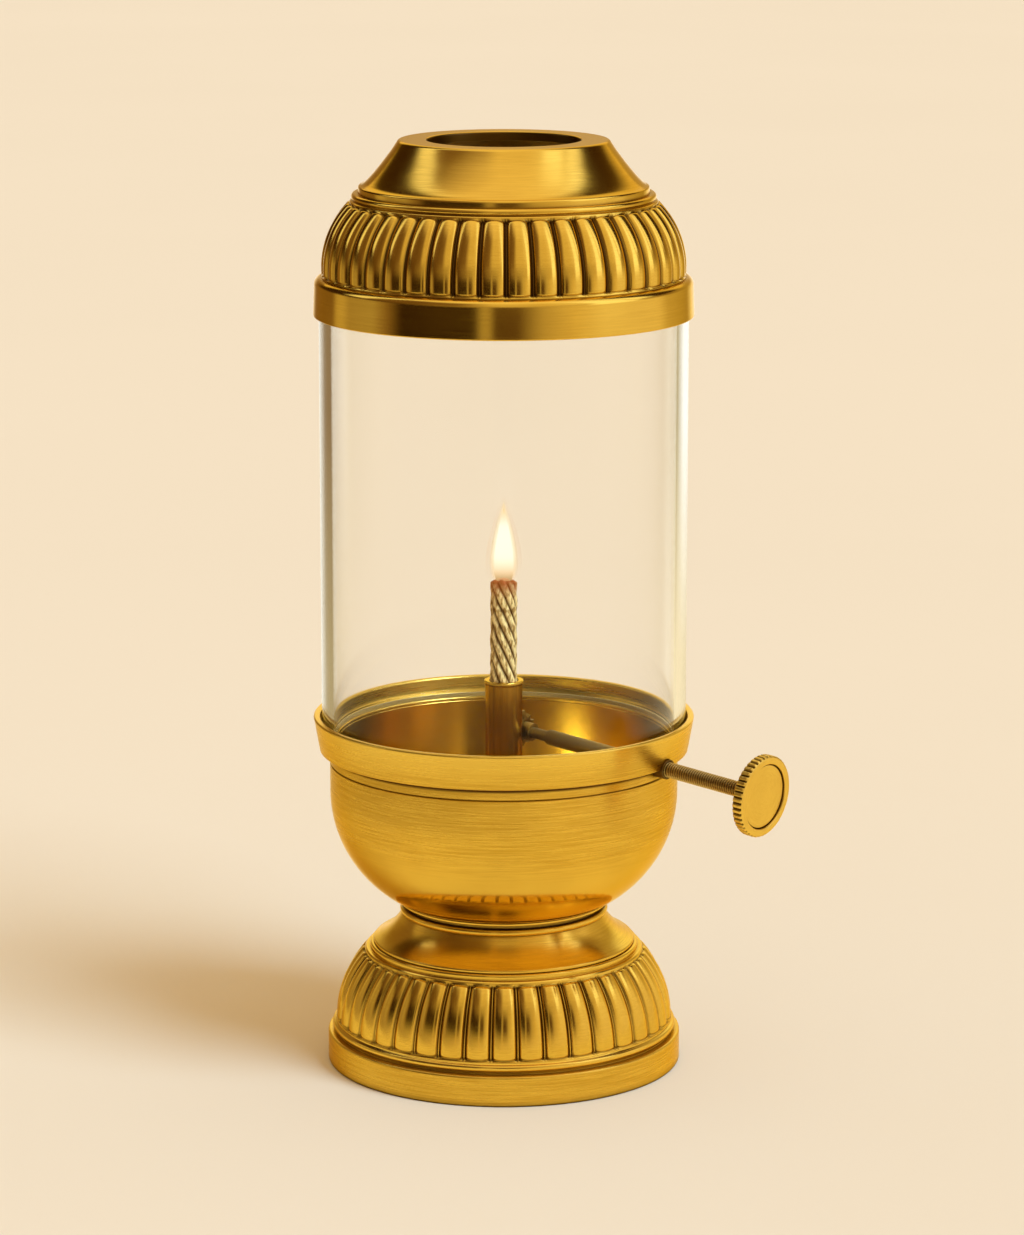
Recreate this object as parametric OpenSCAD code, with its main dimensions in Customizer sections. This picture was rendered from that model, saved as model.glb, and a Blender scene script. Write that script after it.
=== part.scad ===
// Akhand diya: a brass oil lamp with a glass chimney, a ribbed vent cap, and a cotton wick
// that a side knob raises and lowers. Sizes are in millimetres. +Z is up, the lamp's axis is
// the Z axis, the lamp stands on Z = 0, and the knob's shaft runs along +X, sloping down a little.

/* [Foot] */
// Radius of the plinth that the lamp stands on
foot_r = 39.1; // [30:0.1:50]
// Height of the plinth's plain band
plinth_h = 6.8; // [4:0.1:12]
// How far the ribbed dome is set back from the plinth
foot_step = 1.8; // [1.2:0.1:4]
// Section radius of the bead on top of the plinth
foot_bead_r = 0.8; // [0.4:0.1:1.5]
// Height of the groove under the bead
foot_groove_h = 0.6; // [0.3:0.1:1.5]
// How far the dome draws in from its widest place to its top
foot_taper = 6.8; // [4:0.1:10]
// Height of the whole foot
foot_h = 26.8; // [20:0.1:33]
// Height of the ring on top of the dome
foot_ring_h = 1.3; // [0.8:0.1:3]
// Wall of the foot casting
foot_wall = 2.4; // [1.5:0.1:4]
// Thickness of the web that the tie bolt pulls on
foot_web = 2.8; // [2:0.1:5]
// Ribs round the foot's dome
foot_ribs = 39; // [20:1:60]

/* [Ribs] */
// Width of the grooves between the ribs
groove_w = 1.1; // [0.6:0.1:2]
// Depth of the grooves between the ribs
groove_d = 0.7; // [0.3:0.05:1]
// Plain margin between the grooves' ends and the rings that frame them
groove_margin = 0.7; // [0.3:0.1:2]

/* [Neck] */
// Height of the neck cone, with its ring
neck_h = 8.2; // [6:0.1:14]
// Height of the plain rim at the foot of the cone
neck_rim_h = 0.7; // [0.4:0.1:2]
// Section radius of the ring on top of the neck
neck_bead_r = 0.8; // [0.4:0.1:1.5]
// Wall of the spun neck
neck_wall = 1.6; // [1:0.1:3]
// Height of the boss that carries the bowl, which leaves a shadow gap round it
neck_boss_h = 0.9; // [0.5:0.1:2]
// How far the boss is set back from the neck's ring
neck_boss_inset = 1.2; // [0.6:0.1:3]

/* [Bowl] */
// How far the bowl's side is set back from the outside of the glass
bowl_inset = 1.7; // [1.2:0.1:4]
// Height of the bowl
bowl_h = 37.2; // [30:0.1:46]
// Height of the rounded part of the bowl
bowl_curve_h = 25.3; // [18:0.1:28]
// Radius of the bowl's bottom
bowl_base_r = 22; // [18:0.1:28]
// Wall of the spun bowl
bowl_wall = 1.3; // [0.8:0.1:2.5]
// Thickness of the thin lip round the bowl's bottom
bowl_lip_h = 0.6; // [0.4:0.1:1.5]
// How far the lip stands out from the bottom
bowl_lip_w = 1.1; // [0.5:0.1:2]

/* [Gallery] */
// How far the gallery reaches down over the bowl
gallery_drop = 2.6; // [1.8:0.1:5]
// Height of the gallery wall above the glass seat
gallery_wall_h = 4.3; // [3:0.1:8]
// Wall of the gallery at its rim
gallery_wall = 1.55; // [1:0.05:3]
// How far the gallery flares outwards from its lower edge to its rim
gallery_flare = 1.4; // [0.5:0.1:2.5]
// Thickness of the ledge that carries the glass
ledge_t = 0.8; // [0.6:0.1:2]

/* [Chimney] */
// Outside diameter of the glass
glass_od = 80; // [60:0.5:100]
// Wall of the glass
glass_wall = 2.5; // [1.5:0.1:4]
// Length of the glass
glass_h = 97.9; // [70:0.1:130]
// Thickness of the ring gasket under the glass, and of the one above it
gasket_t = 0.8; // [0.5:0.1:2]

/* [Cap] */
// How far the cap's band reaches down over the glass
cap_skirt = 6; // [4:0.1:12]
// Wall of the band at its lower edge
cap_band_wall = 0.9; // [0.7:0.05:2]
// Thickness of the plate that sits on the glass
cap_plate_t = 1.5; // [1:0.1:3]
// How far the dome is set back from the outside of the glass
cap_dome_inset = 0.6; // [0.4:0.1:1.5]
// Height of the ribbed dome with the ring on top of it
cap_dome_h = 18.1; // [13:0.1:24]
// How far the dome draws in from its widest place to its top
cap_taper = 6.5; // [4:0.1:10]
// Height of the arc's widest place above the plate
cap_spring_h = 2.1; // [0.5:0.1:4]
// Wall of the dome
cap_wall = 1.2; // [0.8:0.1:2]
// Ribs round the cap's dome
cap_ribs = 43; // [20:1:60]
// Height of the ring on top of the dome
cap_ring_h = 1.4; // [1:0.1:3]
// Height of the crown
crown_h = 11.4; // [8:0.1:18]
// Thickness of the crown's flange
crown_flange_t = 1.5; // [1:0.1:3]
// Wall of the crown cone
crown_wall = 1.7; // [1:0.1:2.5]
// Radius of the crown's top edge
crown_top_r = 22.4; // [20:0.1:26]
// Radius of the vent hole
vent_r = 16.6; // [12:0.1:18]
// Depth of the lip that is turned down into the vent hole
vent_lip_h = 2; // [1:0.1:4]
// How far the crown's spigot reaches down into the dome
spigot_h = 1.1; // [0.6:0.1:1.3]

/* [Wick] */
// Diameter of the cotton wick
wick_d = 6; // [4:0.1:7]
// Height of the wick's tip above its tube
wick_out = 22.8; // [12:0.1:30]
// Wall of the wick tube
tube_wall = 0.9; // [0.6:0.05:1.6]
// Gap between the wick and its tube
tube_gap = 0.2; // [0.1:0.05:0.6]
// Height of the tube's top above the gallery's rim
tube_up = 7.7; // [2:0.1:16]
// How far the tube reaches down below the shaft's place in the bowl's side
tube_down = 10.6; // [9.5:0.1:14]

/* [Stirrup] */
// Metal left beside the tube's hole on each edge of the stirrup's strip
strip_edge = 0.4; // [0.3:0.1:2]
// Thickness of the strip
strip_t = 1; // [0.8:0.1:1.6]
// Width of the stirrup over its legs
stirrup_w = 24; // [20:0.1:28]
// Thickness of the lock nut under the stirrup
tube_nut_t = 2.4; // [1.8:0.1:4]
// Width of that nut across its corners, more than the tube's diameter
tube_nut_grip = 5.8; // [4:0.1:8]
// Width and thickness of the shoulder that the tube stands on the stirrup with
tube_shoulder = [1.9, 1.2];

/* [Tie bolt] */
// Diameter of the bolt that ties foot, neck and bowl together
bolt_d = 6; // [4:0.1:8]
// Diameter of its flat head
bolt_head_d = 9; // [8:0.1:11]
// Height of the head
bolt_head_h = 1.6; // [1.2:0.1:1.8]
// Width across the corners of the nut under the foot
foot_nut_w = 11.5; // [9:0.1:14]
// Thickness of that nut
foot_nut_t = 5; // [3:0.1:7]
// Diameter of the washer above it
foot_washer_d = 18; // [12:0.1:26]
// Thickness of the washer
foot_washer_t = 1.6; // [1:0.1:3]
// Diameter of the fibre washer that seals the bowl's floor
seal_d = 16; // [12:0.1:20]
// Thickness of the seal
seal_t = 1; // [0.6:0.1:2]

/* [Adjuster] */
// Height of the shaft's centre below the bowl's rim, where it passes the bowl's side
shaft_drop = 2.5; // [2.4:0.1:6]
// Slope of the shaft down towards the knob, in degrees
shaft_tilt = 4.5; // [0:0.5:6]
// Diameter of the threaded rod
shaft_d = 3.4; // [2.6:0.1:4]
// Diameter of its turned-down inner end
journal_d = 2.4; // [1.8:0.1:2.4]
// Length from the lamp's axis at which the rod turns thin
journal_x = 8; // [6:0.1:14]
// Wall of the bush in the bowl's side
bush_wall = 0.45; // [0.35:0.05:0.8]
// How far the bush stands out of the gallery
bush_out = 1; // [0.5:0.1:2]
// Diameter of the feed wheel over its teeth
wheel_d = 7.4; // [6:0.1:8]
// Depth of its teeth
tooth_h = 1; // [0.6:0.1:1.4]
// Teeth on the wheel
wheel_teeth = 12; // [8:1:16]
// Thickness of the toothed part
wheel_t = 2; // [1.4:0.1:2.4]
// How deep the teeth press into the wick
wheel_bite = 0.6; // [0.3:0.1:0.9]
// Diameter and length of the wheel's hub
hub_size = [4, 2.4];
// Diameter of the pin through hub and shaft
pin_d = 0.8; // [0.6:0.1:1]
// Diameter and length of the collar that stops the shaft from being pulled out
collar_size = [6.8, 2.8];
// Diameter of its grub screw
grub_d = 1.5; // [1:0.1:2]
// Radius of the knob
knob_r = 8.9; // [7:0.1:13]
// Thickness of the knob
knob_t = 2.6; // [2:0.1:6]
// Distance from the gallery's rim to the back of the knob
knob_gap = 22.4; // [12:0.1:40]
// Width of the raised rim round the knob's face
knob_rim = 1.8; // [1:0.1:3]
// Depth of the recess in the knob's face, and thickness of the disc pressed into it
knob_recess = [1.2, 0.7];
// Grooves of the straight knurl
knurls = 44; // [24:1:60]
// Radius of each knurl groove
knurl_r = 0.35; // [0.2:0.05:0.5]

/* [Clearances] */
// Gap between the glass and the brass round it
glass_gap = 0.35; // [0.2:0.05:0.8]
// Running clearance of the shaft in its bearings
run_gap = 0.05; // [0.02:0.01:0.1]
// Gap between pieces that are soldered or pushed together
fit_gap = 0.05; // [0.02:0.01:0.15]
// Gap between the wheel and what it turns beside
wheel_gap = 0.6; // [0.4:0.05:1]
// Gap of a bolt in its hole
bolt_gap = 0.2; // [0.1:0.05:0.5]

/* [Hidden] */
$fn = 96;
eps = 0.01;
brass = [0.72, 0.55, 0.29];
dark_brass = [0.55, 0.41, 0.20];
cotton = [0.82, 0.70, 0.52];
fibre = [0.48, 0.20, 0.14];
silicone = [0.78, 0.75, 0.68];
clear = [0.88, 0.93, 0.93, 0.35];

// Radius of an arc that starts upright and draws in by a depth over a height
function arc_radius(depth, height) = (depth * depth + height * height) / (2 * depth);

// Foot
foot_dome_r = foot_r - foot_step;
foot_dome_z = plinth_h + foot_groove_h + 2 * foot_bead_r;
foot_ring_z = foot_h - foot_ring_h;
foot_arc_r = arc_radius(foot_taper, foot_ring_z - foot_dome_z);
foot_cx = foot_dome_r - foot_arc_r;
foot_top_r = foot_dome_r - foot_taper;
foot_ring_r = foot_top_r - 0.8;

// Bowl and neck
glass_r = glass_od / 2;
neck_top_z = foot_h + neck_h;
bowl_z = neck_top_z + neck_boss_h;
bowl_r = glass_r - bowl_inset;
bowl_arc_r = arc_radius(bowl_r - bowl_base_r, bowl_curve_h);
bowl_cx = bowl_r - bowl_arc_r;
bowl_curve_z = bowl_z + bowl_curve_h;
bowl_rim_z = bowl_z + bowl_h;
bowl_floor_z = bowl_z + bowl_wall;
bowl_lip_r = bowl_base_r + bowl_lip_w;
neck_base_r = foot_ring_r - 0.8;
neck_ring_r = bowl_lip_r - 0.1;

// Gallery, glass and cap
glass_bore_r = glass_r + glass_gap;
gallery_low_z = bowl_rim_z - gallery_drop;
seat_z = bowl_rim_z + ledge_t;
gallery_rim_z = seat_z + gallery_wall_h;
gallery_rim_r = glass_bore_r + gallery_wall;
gallery_low_r = gallery_rim_r - gallery_flare;
glass_z = seat_z + gasket_t;
glass_top_z = glass_z + glass_h;
glass_in_r = glass_r - glass_wall;
plate_z = glass_top_z + gasket_t;
dome_z = plate_z + cap_plate_t;
cap_low_z = glass_top_z - cap_skirt;
cap_dome_r = glass_r - cap_dome_inset;
cap_cz = dome_z + cap_spring_h;
crown_z = dome_z + cap_dome_h;
cap_ring_z = crown_z - cap_ring_h;
cap_arc_r = arc_radius(cap_taper, cap_ring_z - cap_cz);
cap_cx = cap_dome_r - cap_arc_r;
cap_top_r = cap_dome_r - cap_taper;
cap_hole_r = cap_top_r - 1.7;
crown_r = cap_top_r - 1.5;
spigot_r = cap_hole_r - fit_gap;
crown_top_z = crown_z + crown_h;

// Wick, tube and stirrup
wick_r = wick_d / 2;
tube_in_r = wick_r + tube_gap;
tube_r = tube_in_r + tube_wall;
tube_top_z = gallery_rim_z + tube_up;
wick_top_z = tube_top_z + wick_out;
stirrup_z = bowl_floor_z + seal_t;
shaft_z = bowl_rim_z - shaft_drop;
tail_z = shaft_z - tube_down;
strip_w = 2 * (tube_r + strip_edge);
bridge_z = tail_z + tube_nut_t;
shoulder_z = bridge_z + strip_t;
head_z = stirrup_z + strip_t;

// Adjuster
shaft_r = shaft_d / 2;
journal_r = journal_d / 2;
bush_r = shaft_r + run_gap + bush_wall;
bush_d = 2 * bush_r;
wheel_r = wheel_d / 2;
shaft_y = wick_r + wheel_r - wheel_bite;
wheel_z = shaft_z + bowl_r * tan(shaft_tilt);
bowl_in_r = bowl_r - bowl_wall;
bush_end_x = sqrt(pow(gallery_low_r, 2) - pow(shaft_y, 2)) + bush_out;
bush_flange_r = min(bush_r + 0.5, shaft_drop - fit_gap);
bush_in_x = sqrt(pow(bowl_in_r, 2) - pow(shaft_y + bush_flange_r, 2)) - 1.4;
collar_x = bush_in_x - wheel_gap - collar_size[1];
knob_x = gallery_rim_r + knob_gap;
track_w = wheel_t + 2 * wheel_gap;
lug_x = [-wheel_t / 2 - wheel_gap - 4.2, -wheel_t / 2 - wheel_gap];
lug_half = journal_r + 2.2;

// Route of the wick's free tail: out of the tube, down to the bowl's floor, then along its side
tail_route = [
    [0, 0, 60], [0, 0, 56], [-1, 0, 51.5], [-2.5, -1.5, 47.5], [-4, -4.5, 44.5], [-5, -8.5, 42.5],
    [-4.5, -12.5, 41.5], [-3, -17, 41], [-0.5, -20.5, 41], [3.5, -22.5, 42], [8, -23.5, 43],
    [12, -22.5, 43.5], [16, -20, 43.5], [18.5, -16.5, 43], [20, -12.5, 42], [20.5, -8, 41],
    [20.5, -3.5, 40.5]
];
tail_sides = 10;

// Which sub-part to draw

// A rectangle in the (radius, height) plane of a revolved outline
module slab(r0, r1, z0, z1) {
    translate([r0, z0])
        square([r1 - r0, z1 - z0]);
}

// Rounded shell of a dome or bowl in the (radius, height) plane, between two heights
module arc_shell(cx, cz, arc_r, wall, z0, z1) {
    intersection() {
        difference() {
            translate([cx, cz])
                circle(arc_r);
            translate([cx, cz])
                circle(arc_r - wall);
        }
        slab(cx, cx + arc_r + 1, z0, z1);
    }
}

// Cutters for the flat-bottomed grooves that leave the ribs of a dome standing
module rib_grooves(count, cx, cz, arc_r, z0, z1) {
    for (i = [0 : count - 1])
        rotate([0, 0, i * 360 / count])
            rotate([90, 0, 0])
                linear_extrude(groove_w, center = true)
                    arc_shell(cx, cz, arc_r + 1, 1 + groove_d, z0, z1);
}

// A flat ring
module ring(outer_r, inner_r, z, height) {
    translate([0, 0, z])
        difference() {
            cylinder(r = outer_r, h = height);
            translate([0, 0, -1])
                cylinder(r = inner_r, h = height + 2);
        }
}

// A hexagon nut with a plain bore
module hex_nut(corner_w, bore_r, z, height) {
    translate([0, 0, z])
        difference() {
            cylinder(d = corner_w, h = height, $fn = 6);
            translate([0, 0, -1])
                cylinder(r = bore_r, h = height + 2);
        }
}

// Puts what is drawn along X on the shaft's sloping line, with the feed wheel's centre at 0
module shaft_line() {
    translate([0, shaft_y, wheel_z])
        rotate([0, shaft_tilt, 0])
            children();
}

// A cylinder on the shaft's line, from one place along it to another, or beside the line
module on_shaft(x0, x1, radius, y = 0, z = 0) {
    shaft_line()
        translate([x0, y, z])
            rotate([0, 90, 0])
                cylinder(r = radius, h = x1 - x0);
}

// Stand

module foot() {
    color(brass)
        difference() {
            rotate_extrude()
                difference() {
                    union() {
                        slab(0, foot_r, 0, plinth_h);
                        slab(0, foot_dome_r, 0, foot_dome_z);
                        translate([foot_dome_r, foot_dome_z - foot_bead_r])
                            circle(foot_bead_r);
                        slab(0, foot_cx, 0, foot_ring_z);
                        intersection() {
                            translate([foot_cx, foot_dome_z])
                                circle(foot_arc_r);
                            slab(0, foot_dome_r, foot_dome_z, foot_ring_z);
                        }
                        slab(0, foot_ring_r, foot_ring_z - eps, foot_h);
                    }
                    slab(0, foot_dome_r - foot_wall, -1, foot_dome_z);
                    slab(0, foot_cx, -1, foot_h - foot_web);
                    intersection() {
                        translate([foot_cx, foot_dome_z])
                            circle(foot_arc_r - foot_wall);
                        slab(0, foot_dome_r, foot_dome_z, foot_h - foot_web);
                    }
                }
            rib_grooves(foot_ribs, foot_cx, foot_dome_z, foot_arc_r,
                foot_dome_z + groove_margin, foot_ring_z - groove_margin);
            cylinder(r = bolt_d / 2 + bolt_gap, h = foot_h + 1);
        }
}

module neck() {
    cone_z = foot_h + neck_rim_h;
    cone_top_z = neck_top_z - 2 * neck_bead_r;
    cone_top_r = neck_ring_r - 0.5 * neck_bead_r;
    waist = [cone_top_r + 0.42 * (neck_base_r - cone_top_r), 0.5 * (cone_z + cone_top_z)];
    color(brass)
        difference() {
            rotate_extrude()
                difference() {
                    union() {
                        polygon([
                            [0, foot_h], [neck_base_r, foot_h], [neck_base_r, cone_z], waist,
                            [cone_top_r, cone_top_z], [cone_top_r, neck_top_z], [0, neck_top_z]
                        ]);
                        translate([neck_ring_r - neck_bead_r, neck_top_z - neck_bead_r])
                            circle(neck_bead_r);
                        slab(0, neck_ring_r - neck_boss_inset, neck_top_z - eps, bowl_z);
                    }
                    polygon([
                        [0, foot_h - 1], [neck_base_r - neck_wall, foot_h - 1],
                        [neck_base_r - neck_wall, cone_z - 0.3], [waist[0] - neck_wall, waist[1] - 0.8],
                        [cone_top_r - neck_wall, neck_top_z - neck_wall], [0, neck_top_z - neck_wall]
                    ]);
                }
            translate([0, 0, foot_h])
                cylinder(r = bolt_d / 2 + bolt_gap, h = neck_h + neck_boss_h + 1);
        }
}

module bowl() {
    color(brass)
        difference() {
            rotate_extrude()
                union() {
                    arc_shell(bowl_cx, bowl_curve_z, bowl_arc_r, bowl_wall, bowl_z, bowl_curve_z);
                    slab(bowl_in_r, bowl_r, bowl_curve_z, bowl_rim_z);
                    slab(0, bowl_base_r, bowl_z, bowl_floor_z);
                    slab(0, bowl_lip_r, bowl_z, bowl_z + bowl_lip_h);
                }
            translate([0, 0, bowl_z - 1])
                cylinder(r = bolt_d / 2 + bolt_gap, h = bowl_wall + 2);
            on_shaft(bowl_in_r / 2, bowl_r + 1, bush_r + fit_gap);
        }
}

module gallery() {
    color(brass)
        difference() {
            rotate_extrude()
                polygon([
                    [bowl_r + fit_gap, gallery_low_z], [gallery_low_r, gallery_low_z],
                    [gallery_rim_r, gallery_rim_z], [glass_bore_r, gallery_rim_z],
                    [glass_bore_r, seat_z], [bowl_in_r, seat_z],
                    [bowl_in_r, bowl_rim_z], [bowl_r + fit_gap, bowl_rim_z]
                ]);
            on_shaft(bowl_r / 2, gallery_rim_r + 1, bush_r + fit_gap);
            translate([bowl_r / 2, shaft_y - bush_r - fit_gap, gallery_low_z - bush_d])
                cube([bowl_r, bush_d + 2 * fit_gap, 1.5 * bush_r + shaft_z - gallery_low_z]);
        }
}

module tie_bolt() {
    end_z = foot_h - foot_web - foot_washer_t - foot_nut_t - 1.5;
    color(dark_brass)
        difference() {
            union() {
                translate([0, 0, head_z])
                    cylinder(d = bolt_head_d, h = bolt_head_h);
                translate([0, 0, end_z])
                    cylinder(d = bolt_d, h = head_z - end_z + eps);
            }
            translate([-bolt_head_d, -0.6, head_z + bolt_head_h - 0.8])
                cube([2 * bolt_head_d, 1.2, 2]);
        }
}

module foot_washer() {
    color(dark_brass)
        ring(foot_washer_d / 2, bolt_d / 2 + bolt_gap, foot_h - foot_web - foot_washer_t, foot_washer_t);
}

module foot_nut() {
    color(dark_brass)
        hex_nut(foot_nut_w, bolt_d / 2, foot_h - foot_web - foot_washer_t - foot_nut_t, foot_nut_t);
}

module floor_seal() {
    color(fibre)
        ring(seal_d / 2, bolt_d / 2 + bolt_gap, bowl_floor_z, seal_t);
}

module stirrup() {
    height = shoulder_z - stirrup_z;
    color(dark_brass)
        difference() {
            translate([-stirrup_w / 2, -strip_w / 2, stirrup_z])
                cube([stirrup_w, strip_w, height]);
            translate([strip_t - stirrup_w / 2, -strip_w, stirrup_z + strip_t])
                cube([stirrup_w - 2 * strip_t, 2 * strip_w, height - 2 * strip_t]);
            translate([0, 0, stirrup_z - 1])
                cylinder(r = bolt_d / 2 + bolt_gap, h = strip_t + 2);
            translate([0, 0, bridge_z - 1])
                cylinder(r = tube_r + fit_gap, h = strip_t + 2);
        }
}

module wick_tube() {
    color(brass)
        difference() {
            union() {
                translate([0, 0, tail_z])
                    cylinder(r = tube_r, h = tube_top_z - tail_z);
                translate([0, 0, shoulder_z])
                    cylinder(r = tube_r + tube_shoulder[0], h = tube_shoulder[1]);
            }
            translate([0, 0, tail_z - 1])
                cylinder(r = tube_in_r, h = tube_top_z - tail_z + 2);
            // The window that the feed wheel reaches the wick through
            translate([-track_w / 2, 0, wheel_z - wheel_r - wheel_gap])
                cube([track_w, 2 * tube_r, 2 * (wheel_r + wheel_gap)]);
        }
}

module tube_nut() {
    color(dark_brass)
        hex_nut(2 * tube_r + tube_nut_grip, tube_r + fit_gap, tail_z, tube_nut_t);
}

module shaft_lug() {
    color(dark_brass)
        difference() {
            translate([lug_x[0], wick_r / 2, wheel_z - lug_half])
                cube([lug_x[1] - lug_x[0], shaft_y + lug_half - wick_r / 2, 2 * lug_half]);
            translate([0, 0, tail_z])
                cylinder(r = tube_r, h = tube_top_z - tail_z);
            on_shaft(lug_x[0] - 1, lug_x[1] + 1, journal_r + run_gap);
        }
}

module shaft_bush() {
    color(brass)
        difference() {
            union() {
                on_shaft(bush_in_x, bush_end_x, bush_r);
                intersection() {
                    on_shaft(bush_in_x, bowl_r, bush_flange_r);
                    cylinder(r = bowl_in_r - fit_gap, h = bowl_rim_z + 10);
                }
            }
            on_shaft(bush_in_x - 1, bush_end_x + 1, shaft_r + run_gap);
        }
}

module chimney_gasket() {
    color(silicone)
        ring(glass_r, glass_in_r, seat_z, gasket_t);
}

// The ring of points that a tube has where it passes one point of its route
function unit(v) = v / norm(v);
function along(route, i) =
    unit(route[min(i + 1, len(route) - 1)] - route[max(i - 1, 0)]);
function across(v, t) = unit(v - (v * t) * t);
function tube_normals(route) = [
    for (i = 0, n = across([1, 0, 0], along(route, 0));
        i < len(route);
        i = i + 1, n = i < len(route) ? across(n, along(route, i)) : n) n
];
function tube_points(route, radius, sides) =
    let (normals = tube_normals(route)) [
        for (i = [0 : len(route) - 1], k = [0 : sides - 1])
            let (n = normals[i], b = cross(along(route, i), n), a = k * 360 / sides)
                route[i] + radius * (cos(a) * n + sin(a) * b)
    ];
function tube_faces(rings, sides) = concat(
    [[for (k = [sides - 1 : -1 : 0]) k]],
    [for (i = [0 : rings - 2], k = [0 : sides - 1])
        let (a = i * sides + k, b = i * sides + (k + 1) % sides)
            each [[a, b, b + sides], [a, b + sides, a + sides]]],
    [[for (k = [0 : sides - 1]) (rings - 1) * sides + k]]
);

module wick_tail() {
    color(cotton)
        polyhedron(
            tube_points(tail_route, wick_r, tail_sides),
            [for (f = tube_faces(len(tail_route), tail_sides)) [for (k = [len(f) - 1 : -1 : 0]) f[k]]]
        );
}

// Adjuster

module pin_hole() {
    shaft_line()
        translate([wheel_t / 2 + hub_size[1] / 2, 0, -hub_size[0] / 2])
            cylinder(d = pin_d, h = hub_size[0]);
}

module adjuster_shaft() {
    color(brass)
        difference() {
            union() {
                on_shaft(lug_x[0] + 0.4, journal_x + eps, journal_r);
                on_shaft(journal_x, knob_x + knob_t - knob_recess[0], shaft_r);
            }
            pin_hole();
        }
}

module feed_wheel() {
    color(dark_brass)
        difference() {
            union() {
                shaft_line()
                    translate([-wheel_t / 2, 0, 0])
                        rotate([0, 90, 0])
                            linear_extrude(wheel_t)
                                polygon([
                                    for (i = [0 : 2 * wheel_teeth - 1])
                                        let (r = i % 2 == 0 ? wheel_r : wheel_r - tooth_h,
                                            a = 90 + i * 180 / wheel_teeth)
                                            [r * cos(a), r * sin(a)]
                                ]);
                on_shaft(wheel_t / 2 - eps, wheel_t / 2 + hub_size[1], hub_size[0] / 2);
            }
            on_shaft(-wheel_t, wheel_t + hub_size[1], journal_r);
            pin_hole();
        }
}

module wheel_pin() {
    color(dark_brass)
        intersection() {
            pin_hole();
            on_shaft(0, journal_x, hub_size[0] / 2);
        }
}

module grub_hole(low, length) {
    shaft_line()
        translate([collar_x + collar_size[1] / 2, 0, low])
            cylinder(d = grub_d, h = length);
}

module stop_collar() {
    color(dark_brass)
        difference() {
            on_shaft(collar_x, collar_x + collar_size[1], collar_size[0] / 2);
            on_shaft(collar_x - 1, collar_x + collar_size[1] + 1, shaft_r);
            grub_hole(shaft_r / 2, collar_size[0]);
        }
}

module collar_screw() {
    color(dark_brass)
        difference() {
            grub_hole(shaft_r, collar_size[0] / 2 - shaft_r - 0.2);
            on_shaft(collar_x - 1, collar_x + collar_size[1] + 1, shaft_r);
        }
}

module knob() {
    color(brass)
        difference() {
            on_shaft(knob_x, knob_x + knob_t, knob_r);
            on_shaft(knob_x + knob_t - knob_recess[0], knob_x + knob_t + 1, knob_r - knob_rim);
            on_shaft(knob_x - 1, knob_x + knob_t + 1, shaft_r);
            for (i = [0 : knurls - 1])
                on_shaft(knob_x - 1, knob_x + knob_t + 1, knurl_r,
                    knob_r * cos(i * 360 / knurls), knob_r * sin(i * 360 / knurls));
        }
}

module knob_face() {
    face_x = knob_x + knob_t - knob_recess[0];
    color(brass)
        on_shaft(face_x, face_x + knob_recess[1], knob_r - knob_rim - fit_gap);
}

// Wick

module wick() {
    color(cotton)
        difference() {
            translate([0, 0, tail_z])
                cylinder(r = wick_r, h = wick_top_z - tail_z);
            // The track that the wheel's teeth press into its side
            translate([-track_w / 2, wick_r - wheel_bite - wheel_gap / 2, tail_z - 1])
                cube([track_w, wick_d, wick_top_z - tail_z + 2]);
        }
}

// Chimney

module chimney_glass() {
    color(clear)
        ring(glass_r, glass_in_r, glass_z, glass_h);
}

// Cap

module cap_band() {
    top_wall = cap_band_wall - 0.25;
    shoulder_r = glass_bore_r + top_wall - cap_plate_t;
    color(brass)
        rotate_extrude()
            union() {
                polygon([
                    [glass_bore_r, cap_low_z], [glass_bore_r + cap_band_wall, cap_low_z],
                    [glass_bore_r + top_wall, plate_z + eps], [glass_bore_r, plate_z + eps]
                ]);
                slab(glass_in_r, shoulder_r, plate_z, dome_z);
                intersection() {
                    translate([shoulder_r, plate_z])
                        circle(cap_plate_t);
                    slab(shoulder_r - eps, shoulder_r + cap_plate_t, plate_z, dome_z);
                }
            }
}

module cap_gasket() {
    color(silicone)
        ring(glass_r, glass_in_r, glass_top_z, gasket_t);
}

module cap_dome() {
    color(brass)
        difference() {
            rotate_extrude()
                union() {
                    arc_shell(cap_cx, cap_cz, cap_arc_r, cap_wall, dome_z, cap_ring_z + eps);
                    slab(cap_hole_r, cap_top_r - 0.7, cap_ring_z, crown_z);
                    translate([cap_top_r - 0.7, cap_ring_z + cap_ring_h / 2])
                        circle(cap_ring_h / 2);
                }
            rib_grooves(cap_ribs, cap_cx, cap_cz, cap_arc_r,
                dome_z + groove_margin, cap_ring_z - groove_margin);
        }
}

module cap_crown() {
    cone_z = crown_z + crown_flange_t;
    color(brass)
        rotate_extrude()
            polygon([
                [spigot_r, crown_z - spigot_h], [spigot_r, crown_z], [crown_r, crown_z],
                [crown_r, cone_z - 0.3], [crown_r - 0.4, cone_z], [crown_top_r + 0.5, crown_top_z - 0.5],
                [crown_top_r, crown_top_z], [vent_r, crown_top_z], [vent_r, crown_top_z - vent_lip_h],
                [crown_top_r - crown_wall + 0.8, crown_top_z - vent_lip_h],
                [spigot_r - crown_wall + 0.5, crown_z + 0.4], [spigot_r - crown_wall + 0.5, crown_z - spigot_h]
            ]);
}

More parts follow.
